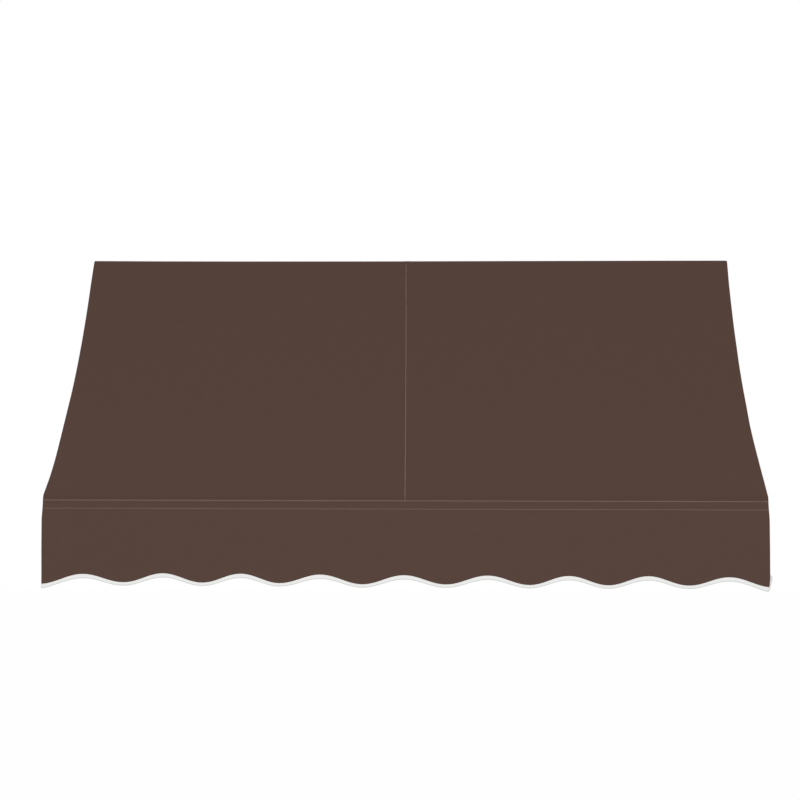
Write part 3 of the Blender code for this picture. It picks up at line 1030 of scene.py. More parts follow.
@dataclass
class Cover:
    """The two lapped widths of canvas over the rafters, with their edges turned down the sides.

    Lengths are in metres, apart from those in head_sag and seam_columns, which are in millimetres.
    """

    sizes: Sizes
    line: CoverLine
    canvas: bpy.types.Material
    thread: bpy.types.Material
    thick: float = CLOTH
    offset: float = 14.85 * MM
    seam_head: float = -8.2 * MM
    seam_front: float = 2.2 * MM
    seam_thread: float = 0.44 * MM
    lap_edge: float = 2.8 * MM
    lap_under: float = 8.0 * MM
    lap_ease: float = 9.0 * MM
    lap_lift: float = 0.68 * MM
    lap_press: float = 0.40 * MM
    press_ease: float = 0.8
    lap_snug: float = 0.65
    bow: float = 4.5 * MM
    bow_power: float = 1.2
    head_sag: tuple[float, ...] = (-0.7, 0.3, 0.8, 1.0, 1.1, 0.9, 0.6, 0.4, 0.2, 0.2)
    sag_reach: float = 0.25
    slack: float = 0.5 * MM
    slack_fade: float = 0.25
    edge_round: float = 1.6 * MM
    round_columns: int = 4
    edge_bow: EdgeBow = field(default_factory=EdgeBow)
    skirt: float = 9.0 * MM
    skirt_columns: int = 4
    skirt_row: float = 0.55
    flap_row_up: float = 9.0 * MM
    flap_row_end: float = 4.0 * MM
    row_points: int = 60
    seam_columns: tuple[float, ...] = (0.0, 1.5, 3.0, 5.0, 7.0, 9.5, 12.0, 15.0, 19.0, 24.0)
    first_column: float = 0.030
    first_columns: int = 3
    cell: float = 8.5 * MM
    notch_clear: float = 4.0 * MM
    ripples: Ripples = field(default_factory=lambda: Ripples(7, 0.16, 0.55))

    @property
    def notch_half(self) -> float:
        """Half the width of a bracket's notch."""
        return self.sizes.bracket_half + self.notch_clear

    def seam(self) -> Grid:
        """Where the row of seam stitches crosses each row of the cover."""
        travel = self.line.travel(self.offset)
        return self.seam_head + (self.seam_front - self.seam_head) * travel / travel[-1]

    def relief(self, x: Grid) -> Grid:
        """How far the cloth bows out, sags and ripples.

        Args:
            x: Places across, rows by columns.

        Returns:
            Distance out from its plain line.
        """
        travel = self.line.travel(self.offset)[:, None]
        share = self.line.share(self.offset)[:, None]
        span = np.clip(np.abs(x) / self.sizes.half_width, 0.0, 1.0)
        free = np.sin(math.pi * span) ** 2
        swell = self.bow * free * np.sin(math.pi * share) ** self.bow_power
        dip = np.interp(x, np.linspace(-1.0, 1.0, len(self.head_sag)) * self.sizes.half_width,
                        self.head_sag) * MM * (1.0 - ease(share / self.sag_reach))
        held = ease(share / self.slack_fade) * ease((1 - share) / self.slack_fade)
        return swell - dip + self.slack * self.ripples.at(x, travel) * held * free

    def columns(self, side: Side) -> tuple[Grid, Grid]:
        """Columns of one width of canvas.

        Args:
            side: Which width.

        Returns:
            Distances from its seam edge of the close columns, and then places across.
        """
        half, outer = self.notch_half, abs(self.sizes.brackets[-1])
        stops = [half, outer - half, outer + half, self.sizes.half_width - self.edge_round]
        places = [np.linspace(self.first_column, stops[0], self.first_columns)]
        for low, high in zip(stops[:-1], stops[1:]):
            places.append(np.linspace(low, high, math.ceil((high - low) / self.cell) + 1)[1:])
        return np.array(self.seam_columns) * MM, side * np.concatenate(places)

    def surface(self, side: Side) -> Grid:
        """Lay out one width of canvas, with its edge rolled over and turned down.

        Args:
            side: Which width.

        Returns:
            Points of the middle of the cloth, rows by columns by 3, from the seam outward.
        """
        half = self.sizes.half_width + self.edge_bow.at(side, self.line.share(self.offset))[:, None]
        close, places = self.columns(side)
        seam = self.seam()[:, None]
        edge = seam + (-self.lap_edge if side is Side.RIGHT else self.lap_under)
        x = np.concatenate([edge + side * close, np.repeat(places[None], len(seam), 0)], 1)
        offset = self.offset + self.relief(x) + self.lap(x, side)
        rim = offset[:, -1:]
        roll = np.linspace(0.0, math.pi / 2, self.round_columns + 1)[1:][None]
        deep = np.linspace(0.0, self.skirt, self.skirt_columns + 1)[1:][None]
        x = np.concatenate([x, side * (half - self.edge_round + self.edge_round * np.sin(roll))
                            + 0 * rim, side * half + 0 * deep + 0 * rim], 1)
        offset = np.concatenate([offset, rim - self.edge_round * (1 - np.cos(roll)),
                                 rim - self.edge_round - deep], 1)
        return np.stack([x, *self.line.place(offset)], -1)

    def uncut(self, x: Grid) -> Grid:
        """Mark the cells of the cloth that are left beside the notches for the brackets.

        Args:
            x: Places across of the columns.

        Returns:
            Whether each cell exists, rows by columns.
        """
        centre = (x[1:] + x[:-1]) / 2
        keep = np.ones((len(self.line.out) - 1, len(centre)), bool)
        for place in self.sizes.brackets:
            keep[:self.line.notch_rows, np.abs(centre - place) < self.notch_half] = False
        return keep

    def width(self, side: Side) -> None:
        """Build one width of canvas with its stitches.

        Args:
            side: Which width. The right one lies on top at the seam and carries its stitches.
        """
        middle, travel = self.surface(side), self.line.travel(self.offset)
        across = np.concatenate([np.zeros((len(middle), 1)),
                                 np.linalg.norm(np.diff(middle, axis=1), axis=2).cumsum(1)], 1)
        uv = np.stack([across * side, np.repeat(travel[:, None], middle.shape[1], 1)], -1)
        keep = self.uncut(middle[0, :, 0])
        rows = [self.side_row(side), self.flap_row(side)]
        if side is Side.LEFT:
            middle, uv, keep = middle[:, ::-1], uv[:, ::-1], keep[:, ::-1]
        else:
            rows.append(self.seam_row())
        sheet = add_piece("canvas_" + side.word, cloth_shell(middle, self.thick, uv, keep), self.canvas)
        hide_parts("canopy_panel_" + side.word)
        stitches = add_piece("stitching_canvas_" + side.word, join(rows), self.thread)
        "rafter_" + side.word

    def on_hem(self) -> Grid:
        """0 on the cover and 1 on the front hem, for each row."""
        near_front = self.line.out > self.line.reach / 2
        return (ease(1.0 - self.line.angle / self.line.end) * near_front)[:, None]

    def on_head(self) -> Grid:
        """0 on the rafters and 1 over the top of the head bar, for each row."""
        start = self.line.start
        return (ease((self.line.angle - start) / (math.pi / 2 - start)) * (self.line.out <= 0.0))[:, None]

    def lap(self, x: Grid, side: Side) -> Grid:
        """How the two widths clear each other where they lap.

        Args:
            x: Places across, rows by columns.
            side: Which width: the left one lies below, the right one on top.

        Returns:
            Lift of the cloth: the top one rises on the cover, and the lower one sinks behind the hem.
        """
        seam, hem = self.seam()[:, None], self.on_hem()
        if side is Side.LEFT:
            sunk = 1.0 - ease((seam - self.lap_edge - x) / self.lap_ease)
            return -self.lap_lift * sunk * hem
        raised = self.lap_lift * (1.0 - ease((x - seam - self.lap_under) / self.lap_ease))
        pressed = self.lap_press * (1.0 - ease((x - seam + self.lap_edge)
                                               / (self.press_ease * self.lap_edge)))
        return (raised - pressed) * (1.0 - hem) * (1.0 - self.lap_snug * self.on_head())

    def seam_row(self) -> MeshParts:
        """Sew the lap seam, from below the head bar to the front hem.

        Returns:
            Vertices, faces and UVs of the stitches.
        """
        seam, start = self.seam(), self.line.rafter.start
        rise = (self.relief(seam[:, None]) + self.lap(seam[:, None], Side.RIGHT))[:, 0]
        y, z = self.line.place(self.offset + rise + self.thick / 2)
        path = np.stack([seam, y, z], 1)[start:]
        return StitchRow(radius=self.seam_thread).sew(path, self.line.outward()[start:])

    def side_row(self, side: Side) -> MeshParts:
        """Sew the turned-down edge to the side wing.

        Args:
            side: Which width.

        Returns:
            Vertices, faces and UVs of the stitches.
        """
        line, start = self.line, self.line.notch_rows
        deep = self.edge_round + self.skirt_row * self.skirt
        y, z = line.place(np.full(len(line.out), self.offset - deep))
        bow = self.edge_bow.at(side, line.share(self.offset))
        x = side * (self.sizes.half_width + self.thick / 2 + bow)
        path = np.stack([x, y, z], 1)[start:]
        return StitchRow().sew(path, np.repeat([[side, 0.0, 0.0]], len(path), 0))

    def flap_row(self, side: Side) -> MeshParts:
        """Sew the hem of the wall flap, between the bracket notches.

        Args:
            side: Which width.

        Returns:
            Vertices, faces and UVs of the stitches.
        """
        half, outer = self.notch_half, abs(self.sizes.brackets[-1])
        height = self.line.head[1] - self.line.flap + self.flap_row_up
        y = self.line.head[0] + self.offset + self.thick / 2
        out = np.repeat([[0.0, 1.0, 0.0]], self.row_points, 0)
        rows = []
        for low, high in ((half, outer - half), (outer + half, self.sizes.half_width - self.flap_row_end)):
            x = np.linspace(side * low, side * high, self.row_points)
            rows.append(StitchRow().sew(np.stack([x, 0 * x + y, 0 * x + height], 1), out))
        return join(rows)


@dataclass
class Wings:
    """The closed sides of the cover."""

    sizes: Sizes
    line: CoverLine
    canvas: bpy.types.Material
    thread: bpy.types.Material
    thick: float = CLOTH
    offset: float = 14.2 * MM
    inset: float = 0.7 * MM
    billow: float = 4.0 * MM
    wander: float = 1.2 * MM
    fixed: float = 0.16
    rows_below: int = 72
    rows_above: int = 8
    top_turn: float = 0.985
    edge_columns: tuple[float, ...] = (0.0, 0.012, 0.024)
    free_columns: int = 52
    first_free: float = 0.045
    back_hem: float = 18.0 * MM
    row_end: float = 0.03
    row_points: int = 80
    edge_bow: EdgeBow = field(default_factory=EdgeBow)
    ripples: Ripples = field(default_factory=lambda: Ripples(11, 0.12, 0.4))

    def build(self, side: Side) -> None:
        """Build one side wing.

        Args:
            side: Which wing.
        """
        line, z_back = self.line, self.line.head[1]
        y_edge, z_edge = line.place(np.full(len(line.out), self.offset))
        top, low = int(np.argmax(z_edge)), z_edge[-1]
        turn = np.linspace(0.0, self.top_turn * math.pi / 2, self.rows_above + 1)[1:]
        heights = np.concatenate([np.linspace(low, z_back, self.rows_below),
                                  z_back + self.offset * np.sin(turn)])
        front = np.interp(heights, z_edge[top:][::-1], y_edge[top:][::-1])
        rise = np.clip(heights - z_back, 0.0, self.offset)
        back = line.head[0] + np.sqrt(self.offset ** 2 - rise ** 2)
        rim = np.array(self.edge_columns)
        free = np.linspace(self.first_free, 1.0 - self.first_free, self.free_columns)
        share = np.concatenate([rim, free, 1.0 - rim[::-1]])
        y = back[:, None] + (front - back)[:, None] * share[None]
        z = np.repeat(heights[:, None], len(share), 1)
        inside = np.minimum(np.minimum(back[:, None] - y, y - front[:, None]), z - low)
        bow = self.edge_bow.at(side, line.share(self.offset))
        edge = np.interp(heights, z_edge[top:][::-1], bow[top:][::-1])
        follow = edge[:, None] * (1.0 - ease((y - front[:, None]) / self.fixed))
        x = side * (self.sizes.half_width - self.inset + follow
                    - ease(inside / self.fixed) * (self.billow + self.wander * self.ripples.at(y, z)))
        middle = np.stack([x, y, z], -1)
        if side is Side.LEFT:
            middle = middle[:, ::-1]
        sheet = add_piece("canvas_side_" + side.word, cloth_shell(middle, self.thick, middle[..., 1:]),
                          self.canvas)
        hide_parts("side_wing_" + side.word)
        stitches = add_piece("stitching_side_" + side.word, join(self.rows(side, back[0], low)),
                             self.thread)
        area = float(np.sum(np.diff(heights) * ((back - front)[1:] + (back - front)[:-1]) / 2))
        float((back - front).max())
        float(heights[-1] - low)
        "wall_upright_" + side.word
        "rafter_" + side.word
        "side_rail_" + side.word

    def rows(self, side: Side, back: float, low: float) -> list[MeshParts]:
        """Sew the hem along the wall edge, on both faces.

        Args:
            side: Which wing.
            back: Y of the wall edge.
            low: Height of the lower edge.

        Returns:
            Vertices, faces and UVs of each row.
        """
        z = np.linspace(low + self.row_end, self.line.head[1] - self.row_end, self.row_points)
        free = ease(np.minimum(self.back_hem, z - low) / self.fixed)
        made = []
        for face in ClothFace:
            x = side * (self.sizes.half_width - self.inset + face * self.thick / 2 - free * self.billow)
            path = np.stack([x, 0 * z + back - self.back_hem, z], 1)
            made.append(StitchRow().sew(path, np.repeat([[side * face, 0.0, 0.0]], len(z), 0)))
        return made


# ---------------------------------------------------------------- the valance

@dataclass
class Valance:
    """The wavy strip that runs round the three free sides, and its white binding.

    Fields that are pairs of lengths hold one for the left and one for the right front corner,
    apart from those of the hem rows, which hold one for the upper and one for the lower row, and
    lean_easing, which holds two distances behind the corner. The lengths in drift and rise are in
    millimetres.
    """

    sizes: Sizes
    canvas: bpy.types.Material
    tape: bpy.types.Material
    thread: bpy.types.Material
    white_thread: bpy.types.Material
    thick: float = CLOTH
    front_out: float = 15.6 * MM
    side_out: float = 0.8 * MM
    corner: float = 4.0 * MM
    corner_steps: int = 6
    wall_gap: float = 4.0 * MM
    top: float = 3.0 * MM
    step: float = 6.0 * MM
    top_rows: tuple[float, ...] = (0.0, 0.012, 0.03)
    first_row: float = 0.06
    free_rows: int = 24
    waves: int = 9
    cad_half: float = 1.3 * MM
    trough_upper: float = 0.1895
    crest_upper: float = 0.1690
    trough_lower: float = 0.1970
    crest_lower: float = 0.1785
    fold: float = 1.2 * MM
    fold_steps: int = 6
    tape_step: float = 5.0 * MM
    tape_half: float = 0.95 * MM
    tape_gap: float = 0.05 * MM
    tape_edge: float = 0.25 * MM
    tape_round: float = 0.35 * MM
    tape_tuck: float = 0.10 * MM
    tape_row: float = 1.8 * MM
    tape_stitches: StitchRow = field(
        default_factory=lambda: StitchRow(pitch=3.2 * MM, length=2.4 * MM, radius=0.22 * MM))
    hem_rows: Pair = (1.4 * MM, 20.0 * MM)
    hem_threads: Pair = (0.45 * MM, 0.30 * MM)
    row_end: float = 14.0 * MM
    tilt: Pair = (0.4 * MM, -1.0 * MM)
    corner_bulge: float = 2.5 * MM
    bulge_front: float = 0.045
    bulge_side: float = 0.10
    bulge_depth: float = 0.05
    bulge_loss: float = 0.25
    side_lean: float = 6.0 * MM
    lean_power: float = 2.2
    lean_reach: float = 0.09
    lean_easing: Pair = (0.14, 0.44)
    lean_loss: float = 0.8
    kick: Pair = (0.0, 15.5 * MM)
    gather: Pair = (0.0, 8.0 * MM)
    kick_height: float = 18.0 * MM
    tuck: Pair = (0.0, 5.0 * MM)
    tuck_height: float = 16.0 * MM
    tuck_reach: float = 14.0 * MM
    loose: float = 0.9 * MM
    loose_power: float = 1.5
    loose_drawn: float = 0.5
    mitre: Pair = (2.2 * MM, 3.5 * MM)
    mitre_reach: float = 22.0 * MM
    drift: tuple[float, ...] = (3.5, -3.4, 0.9, 8.5, 3.6, -2.6, -9.1, -3.7, -1.0, -4.5)
    rise: tuple[float, ...] = (-1.1, 2.9, 2.6, 1.7, -0.4, -0.2, -1.0, -1.2, -1.2, -4.5)
    ripples: Ripples = field(default_factory=lambda: Ripples(5, 0.14, 0.45))
    half: float = field(init=False)
    face: float = field(init=False)
    side_run: float = field(init=False)
    bend: float = field(init=False)
    front_run: float = field(init=False)
    whole: float = field(init=False)
    bar: float = field(init=False)

    def __post_init__(self) -> None:
        """Work out the plan of the strip."""
        self.half = self.sizes.half_width + self.side_out
        self.face = -self.sizes.front[0] + self.front_out
        self.side_run = self.face - self.corner - self.wall_gap
        self.bend = math.pi * self.corner / 2
        self.front_run = 2 * (self.half - self.corner)
        self.whole = 2 * (self.side_run + self.bend) + self.front_run
        self.bar = self.sizes.front[1]

    def plan(self, run: Grid) -> tuple[Grid, Grid, Grid, Grid]:
        """Plan of the strip from the wall on the left round to the wall on the right.

        Args:
            run: Distances along it.

        Returns:
            X, Y and the outward X and Y at each.
        """
        mirrored = run > self.whole / 2
        near = np.where(mirrored, self.whole - run, run)
        angle = np.clip((near - self.side_run) / self.corner, 0.0, math.pi / 2)
        along_side = np.minimum(near, self.side_run)
        along_front = np.maximum(near - self.side_run - self.bend, 0.0)
        x = -self.half + self.corner - self.corner * np.cos(angle) + along_front
        y = -self.wall_gap - along_side - self.corner * np.sin(angle)
        sign = np.where(mirrored, -1.0, 1.0)
        return x * sign, y, -np.cos(angle) * sign, -np.sin(angle)

    def behind(self, side_gap: Grid) -> Grid:
        """How much of the side's looseness shows.

        Args:
            side_gap: Distances behind the front corner.

        Returns:
            Shares from 0 to 1.
        """
        near, far = self.lean_easing
        loss = self.lean_loss * ease((side_gap - near) / (far - near))
        return ease(side_gap / self.lean_reach) * (1.0 - loss)

    def wave(self, run: Grid, trough: float, crest: float, mitre: Pair = (0.0, 0.0)) -> Grid:
        """Height of a wavy line along the strip.

        Args:
            run: Distances along the strip.
            trough: Depth of the line's low places below the front bar's axis.
            crest: Depth of its high places.
            mitre: How much deeper it is at the left and right corners, where the tape is folded.

        Returns:
            Heights.
        """
        x, y, out_x, _ = self.plan(run)
        pitch = 2 * (self.sizes.half_width + self.cad_half) / self.waves
        on_front = np.abs(out_x) < 0.5
        marks = np.linspace(-self.half, self.half, len(self.drift))
        distance = np.where(on_front, x + self.half + np.interp(x, marks, self.drift) * MM, y + self.face)
        share = 0.5 * (1 - np.cos(2 * math.pi * distance / pitch))
        side_gap = np.where(on_front, 0.0, y + self.face)
        gap = np.where(on_front, self.half - np.abs(x), side_gap)
        corner = np.where(x > 0, mitre[1], mitre[0]) * bell(gap, self.mitre_reach)
        raised = np.where(x > 0, self.gather[1], self.gather[0]) * self.behind(side_gap)
        rise = np.interp(x, marks, self.rise) * MM + raised - corner
        return self.bar - trough + (trough - crest) * share + rise

    def upper(self, run: Grid) -> Grid:
        """Height of the tape's upper edge."""
        return self.wave(run, self.trough_upper, self.crest_upper)

    def lower(self, run: Grid) -> Grid:
        """Height of the tape's fold."""
        return self.wave(run, self.trough_lower, self.crest_lower, self.mitre)

    def lean(self, run: Grid, height: Grid) -> Grid:
        """How far the strip hangs out from its plain line.

        Args:
            run: Distances along the strip.
            height: Heights on it.

        Returns:
            Distance out: the bulge at the corners, the flare of the sides and loose ripples.
        """
        x, y, out_x, _ = self.plan(run)
        depth = np.clip(self.bar - height, 0.0, None)
        share = depth / self.trough_upper
        low = np.clip(height - self.lower(run), 0.0, None)
        front_gap, side_gap = self.half - np.abs(x), np.abs(y + self.face)
        belly = ease(depth / self.bulge_depth) * (1.0 - self.bulge_loss * ease(2.0 * share - 1.0))
        bulge = (self.corner_bulge * belly * bell(front_gap, self.bulge_front)
                 * bell(side_gap, self.bulge_side))
        kick = np.where(x > 0, self.kick[1], self.kick[0]) * np.exp(-low / self.kick_height)
        tuck = (np.where(x > 0, self.tuck[1], self.tuck[0]) * bell(low, self.tuck_height)
                * bell(front_gap, self.tuck_reach) * bell(side_gap, self.tuck_reach))
        flare = (np.abs(out_x) * self.behind(side_gap)
                 * (self.side_lean * share ** self.lean_power + kick))
        loose = (self.loose * self.ripples.at(run, self.loose_drawn * height)
                 * share ** self.loose_power)
        return bulge - tuck + flare + loose

    def surface(self, run: Grid, height: Grid, across: Grid | float = 0.0) -> Grid:
        """Find points of the strip.

        Args:
            run: Distances along it.
            height: Heights.
            across: Distances out from its middle.

        Returns:
            The points.
        """
        x, y, out_x, out_y = self.plan(run)
        away = self.lean(run, height) + across
        return np.stack([x + out_x * away, y + out_y * away, height + 0 * away], -1)

    def outward(self, run: Grid) -> Grid:
        """Outward direction along the strip."""
        _, _, out_x, out_y = self.plan(run)
        return np.stack([out_x, out_y, 0 * run], -1)

    def stations(self, step: float) -> Grid:
        """Divide the strip, more closely round its corners.

        Args:
            step: Distance between stations on the straight stretches.

        Returns:
            Distances along the strip.
        """
        left = np.linspace(0.0, self.side_run, round(self.side_run / step) + 1)
        bend = np.linspace(self.side_run, self.side_run + self.bend, self.corner_steps + 1)[1:]
        front = np.linspace(bend[-1], bend[-1] + self.front_run, round(self.front_run / step) + 1)[1:]
        return np.concatenate([left, bend, front, self.whole - bend[::-1][1:], self.whole - left[::-1]])

    def build(self) -> None:
        """Build the strip, its binding and its stitches."""
        run = self.stations(self.step)
        low = self.lower(run) + self.fold
        share = np.concatenate([self.top_rows, np.linspace(self.first_row, 1.0, self.free_rows)])
        height = self.bar + self.top + (low - self.bar - self.top)[None] * share[:, None]
        spread = np.repeat(run[None], len(share), 0)
        uv = np.stack([spread, height], -1)
        strip = add_piece("canvas_valance", cloth_shell(self.surface(spread, height), self.thick, uv),
                          self.canvas)
        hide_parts("valance_front", "valance_left", "valance_right")
        tape = self.binding()
        rows = [self.row(deep, thread, face) for deep, thread in zip(self.hem_rows, self.hem_threads)
                for face in ClothFace]
        stitches = add_piece("stitching_valance", join(rows), self.thread)
        float(self.bar + self.top - low.min())
        self.binding_row(run)

    def row(self, deep: float, thread: float, face: ClothFace) -> MeshParts:
        """Sew one hem row, round both corners.

        Args:
            deep: Distance below the front bar's axis.
            thread: Radius of its thread.
            face: Which face it shows on.

        Returns:
            Vertices, faces and UVs of the stitches.
        """
        run = self.stations(self.step)
        run = run[(run > self.row_end) & (run < self.whole - self.row_end)]
        height = self.bar - deep + np.interp(self.plan(run)[0], (-self.half, self.half), self.tilt)
        path = self.surface(run, height, face * self.thick / 2)
        return StitchRow(radius=thread).sew(path, self.outward(run) * face)

    def section(self) -> list[tuple[float, bool, float]]:
        """Lay out the folded tape's section: a rounded U with a thin gap for the canvas.

        Returns:
            For each point its distance out, whether it goes with the fold instead of the upper
            edge, and its height above that.
        """
        half, gap = self.tape_half, self.thick / 2 + self.tape_gap
        edge = [(half - self.tape_edge, False, 0.0), (half, False, -self.tape_round)]
        fold = [(half * math.cos(turn), True, half - half * math.sin(turn))
                for turn in np.linspace(0.0, math.pi, self.fold_steps + 1)]
        slot = [(-gap, False, -self.tape_tuck), (-gap, True, self.fold), (gap, True, self.fold),
                (gap, False, -self.tape_tuck)]
        return edge + fold + [(-out, on_fold, lift) for out, on_fold, lift in reversed(edge)] + slot

    def binding(self) -> bpy.types.Object:
        """Fold the tape over the wavy edge.

        Returns:
            The tape, with the height above its fold as U.
        """
        run = self.stations(self.tape_step)
        up, low = self.upper(run), self.lower(run)
        rings, above_fold = [], []
        for out, on_fold, lift in self.section():
            height = (low if on_fold else up) + lift
            rings.append(self.surface(run, height, out))
            above_fold.append(height - low)
        points, faces, uv = loft(np.stack(rings, 1), run)
        uv[:, 0] = np.stack(above_fold, 1).ravel()
        made = add_piece("binding", (points, faces, uv), self.tape)
        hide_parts("binding_front", "binding_left", "binding_right")
        return made

    def binding_row(self, run: Grid) -> bpy.types.Object:
        """Sew the tape on, with white stitches on both faces.

        Args:
            run: Distances along the strip.

        Returns:
            The stitches.
        """
        height = self.upper(run) - self.tape_row
        parts = [self.tape_stitches.sew(self.surface(run, height, face * self.tape_half),
                                        self.outward(run) * face) for face in ClothFace]
        return add_piece("stitching_binding", join(parts), self.white_thread)


# ---------------------------------------------------------------- fittings

class StrapPlace(Enum):
    """What a strap goes round: the tube's direction and where the lap faces.

    None stands for a lap that faces inward, or for what follows from the rafter's curve.
    """

    HEAD = ((1.0, 0.0, 0.0), (0.0, -0.35, -0.94))
    FRONT = ((1.0, 0.0, 0.0), (0.0, 0.9, -0.44))
    RAIL = ((0.0, 1.0, 0.0), None)
    UPRIGHT = ((0.0, 0.0, 1.0), None)
    RAFTER = (None, None)


@dataclass
class Fastenings:
    """Straps and the sleeve that hold the cover to its frame.

    A strap's tail climbs over its start: climb holds how long before the full turn that begins and
    how long it takes, in overlaps. Halfway through its thickness a strap is strap_bulge as wide.
    """

    line: CoverLine
    canvas: bpy.types.Material
    webbing: bpy.types.Material
    thread: bpy.types.Material
    strap_in: float = 12.78 * MM
    strap_thick: float = 0.75 * MM
    strap_half: float = 12.5 * MM
    strap_edge: float = 0.25 * MM
    strap_bulge: float = 1.02
    strap_steps: int = 56
    overlap: float = math.radians(70)
    climb: Pair = (0.8, 0.5)
    climb_gap: float = 0.05 * MM
    search_points: int = 400
    sleeve_in: float = 12.95 * MM
    sleeve_thick: float = CLOTH
    sleeve_end: float = 0.10
    sleeve_slack: float = 0.22 * MM
    sleeve_rings: int = 90
    sleeve_sides: int = 40
    sleeve_rows: Pair = (math.radians(64), math.radians(-64))
    ripples: Ripples = field(default_factory=lambda: Ripples(3, 0.03, 0.11))

    def band(self, centre: Grid, axis: Grid, toward: Grid) -> MeshParts:
        """One strap closed round a tube with its tail lapped over.

        Args:
            centre: Middle of the strap on the tube's axis.
            axis: Direction of the tube.
            toward: Where the lap faces.

        Returns:
            Vertices, faces and UVs.
        """
        side = unit(np.cross(axis, toward))
        turn = np.linspace(-self.overlap / 2, 2 * math.pi + self.overlap / 2, self.strap_steps)
        before, climb = (share * self.overlap for share in self.climb)
        over = ease((turn - 2 * math.pi + before) / climb)
        inner = self.strap_in + over * (self.strap_thick + self.climb_gap)
        edge, thick, wide = self.strap_edge, self.strap_thick, self.strap_bulge
        right = [(thick, 1.0), (thick - edge, wide), (edge, wide), (0.0, 1.0)]
        rings = []
        for radius, shift in [(radius, -shift) for radius, shift in reversed(right)] + right:
            reach = (inner + radius)[:, None]
            rings.append(centre + axis * (shift * self.strap_half)
                         + reach * (np.cos(turn)[:, None] * toward + np.sin(turn)[:, None] * side))
        return loft(np.stack(rings, 1), turn * self.strap_in)

    def lay(self, place: StrapPlace, centre: Grid) -> tuple[Grid, Grid]:
        """Find how a strap lies.

        Args:
            place: What it goes round.
            centre: Its middle.

        Returns:
            The tube's direction and where the lap faces.
        """
        if place is StrapPlace.RAFTER:
            out, down, angle = self.line.axis(np.linspace(0.0, self.line.length, self.search_points))
            gap = np.hypot(self.line.head[0] - out - centre[1], self.line.head[1] - down - centre[2])
            near = angle[int(np.argmin(gap))]
            return (np.array([0.0, -math.sin(near), -math.cos(near)]),
                    np.array([0.0, math.cos(near), -math.sin(near)]))
        axis, facing = place.value
        inward = (-math.copysign(1.0, centre[0]), 0.0, 0.0)
        return np.array(axis), unit(np.array(facing or inward))

    def straps(self) -> None:
        """Build every strap in the place of its plain solid."""
        for name in sorted(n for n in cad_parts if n.startswith("strap_")):
            low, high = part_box(name)
            centre = np.array((low + high) / 2)
            axis, toward = self.lay(StrapPlace[name.split("_")[1].upper()], centre)
            band = add_piece(name.replace("strap", "band", 1), self.band(centre, axis, toward),
                             self.webbing)
            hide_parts(name)

    def on_sleeve(self, turned: Grid, travel: Grid, extra: float) -> Grid:
        """Find points on the sleeve, whose slack gathers below the rafter.

        Args:
            turned: Angles round the rafter, from its upper side.
            travel: Distances along the rafter's axis.
            extra: Distance out from the middle of the cloth.

        Returns:
            The points.
        """
        out, down, angle = self.line.axis(travel)
        loose = (self.sleeve_slack * (1 + self.ripples.at(turned * self.sleeve_in, travel))
                 * (1 - np.cos(turned)) / 2)
        radius = self.sleeve_in + self.sleeve_thick / 2 + loose + extra
        lift = radius * np.cos(turned)
        return np.stack([radius * np.sin(turned), self.line.head[0] - out - lift * np.cos(angle),
                         self.line.head[1] - down + lift * np.sin(angle)], -1)

    def sleeve(self) -> None:
        """Build the canvas sleeve round the centre rafter."""
        travel = np.linspace(self.sleeve_end, self.line.length - self.sleeve_end, self.sleeve_rings)
        around, run = np.meshgrid(np.linspace(0.0, 2 * math.pi, self.sleeve_sides + 1), travel)
        uv = np.stack([around * self.sleeve_in, run], -1)
        cloth = cloth_shell(self.on_sleeve(around, run, 0.0), self.sleeve_thick, uv)
        sheet = add_piece("canvas_sleeve", cloth, self.canvas)
        rows = []
        for turned in self.sleeve_rows:
            around_row = np.full(len(travel), turned)
            path = self.on_sleeve(around_row, travel, self.sleeve_thick / 2)
            inside = self.on_sleeve(around_row, travel, -self.sleeve_thick)
            rows.append(StitchRow().sew(path, path - inside))
        stitches = add_piece("stitching_sleeve", join(rows), self.thread)
        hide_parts("rafter_pocket")
        2 * math.pi * self.sleeve_in


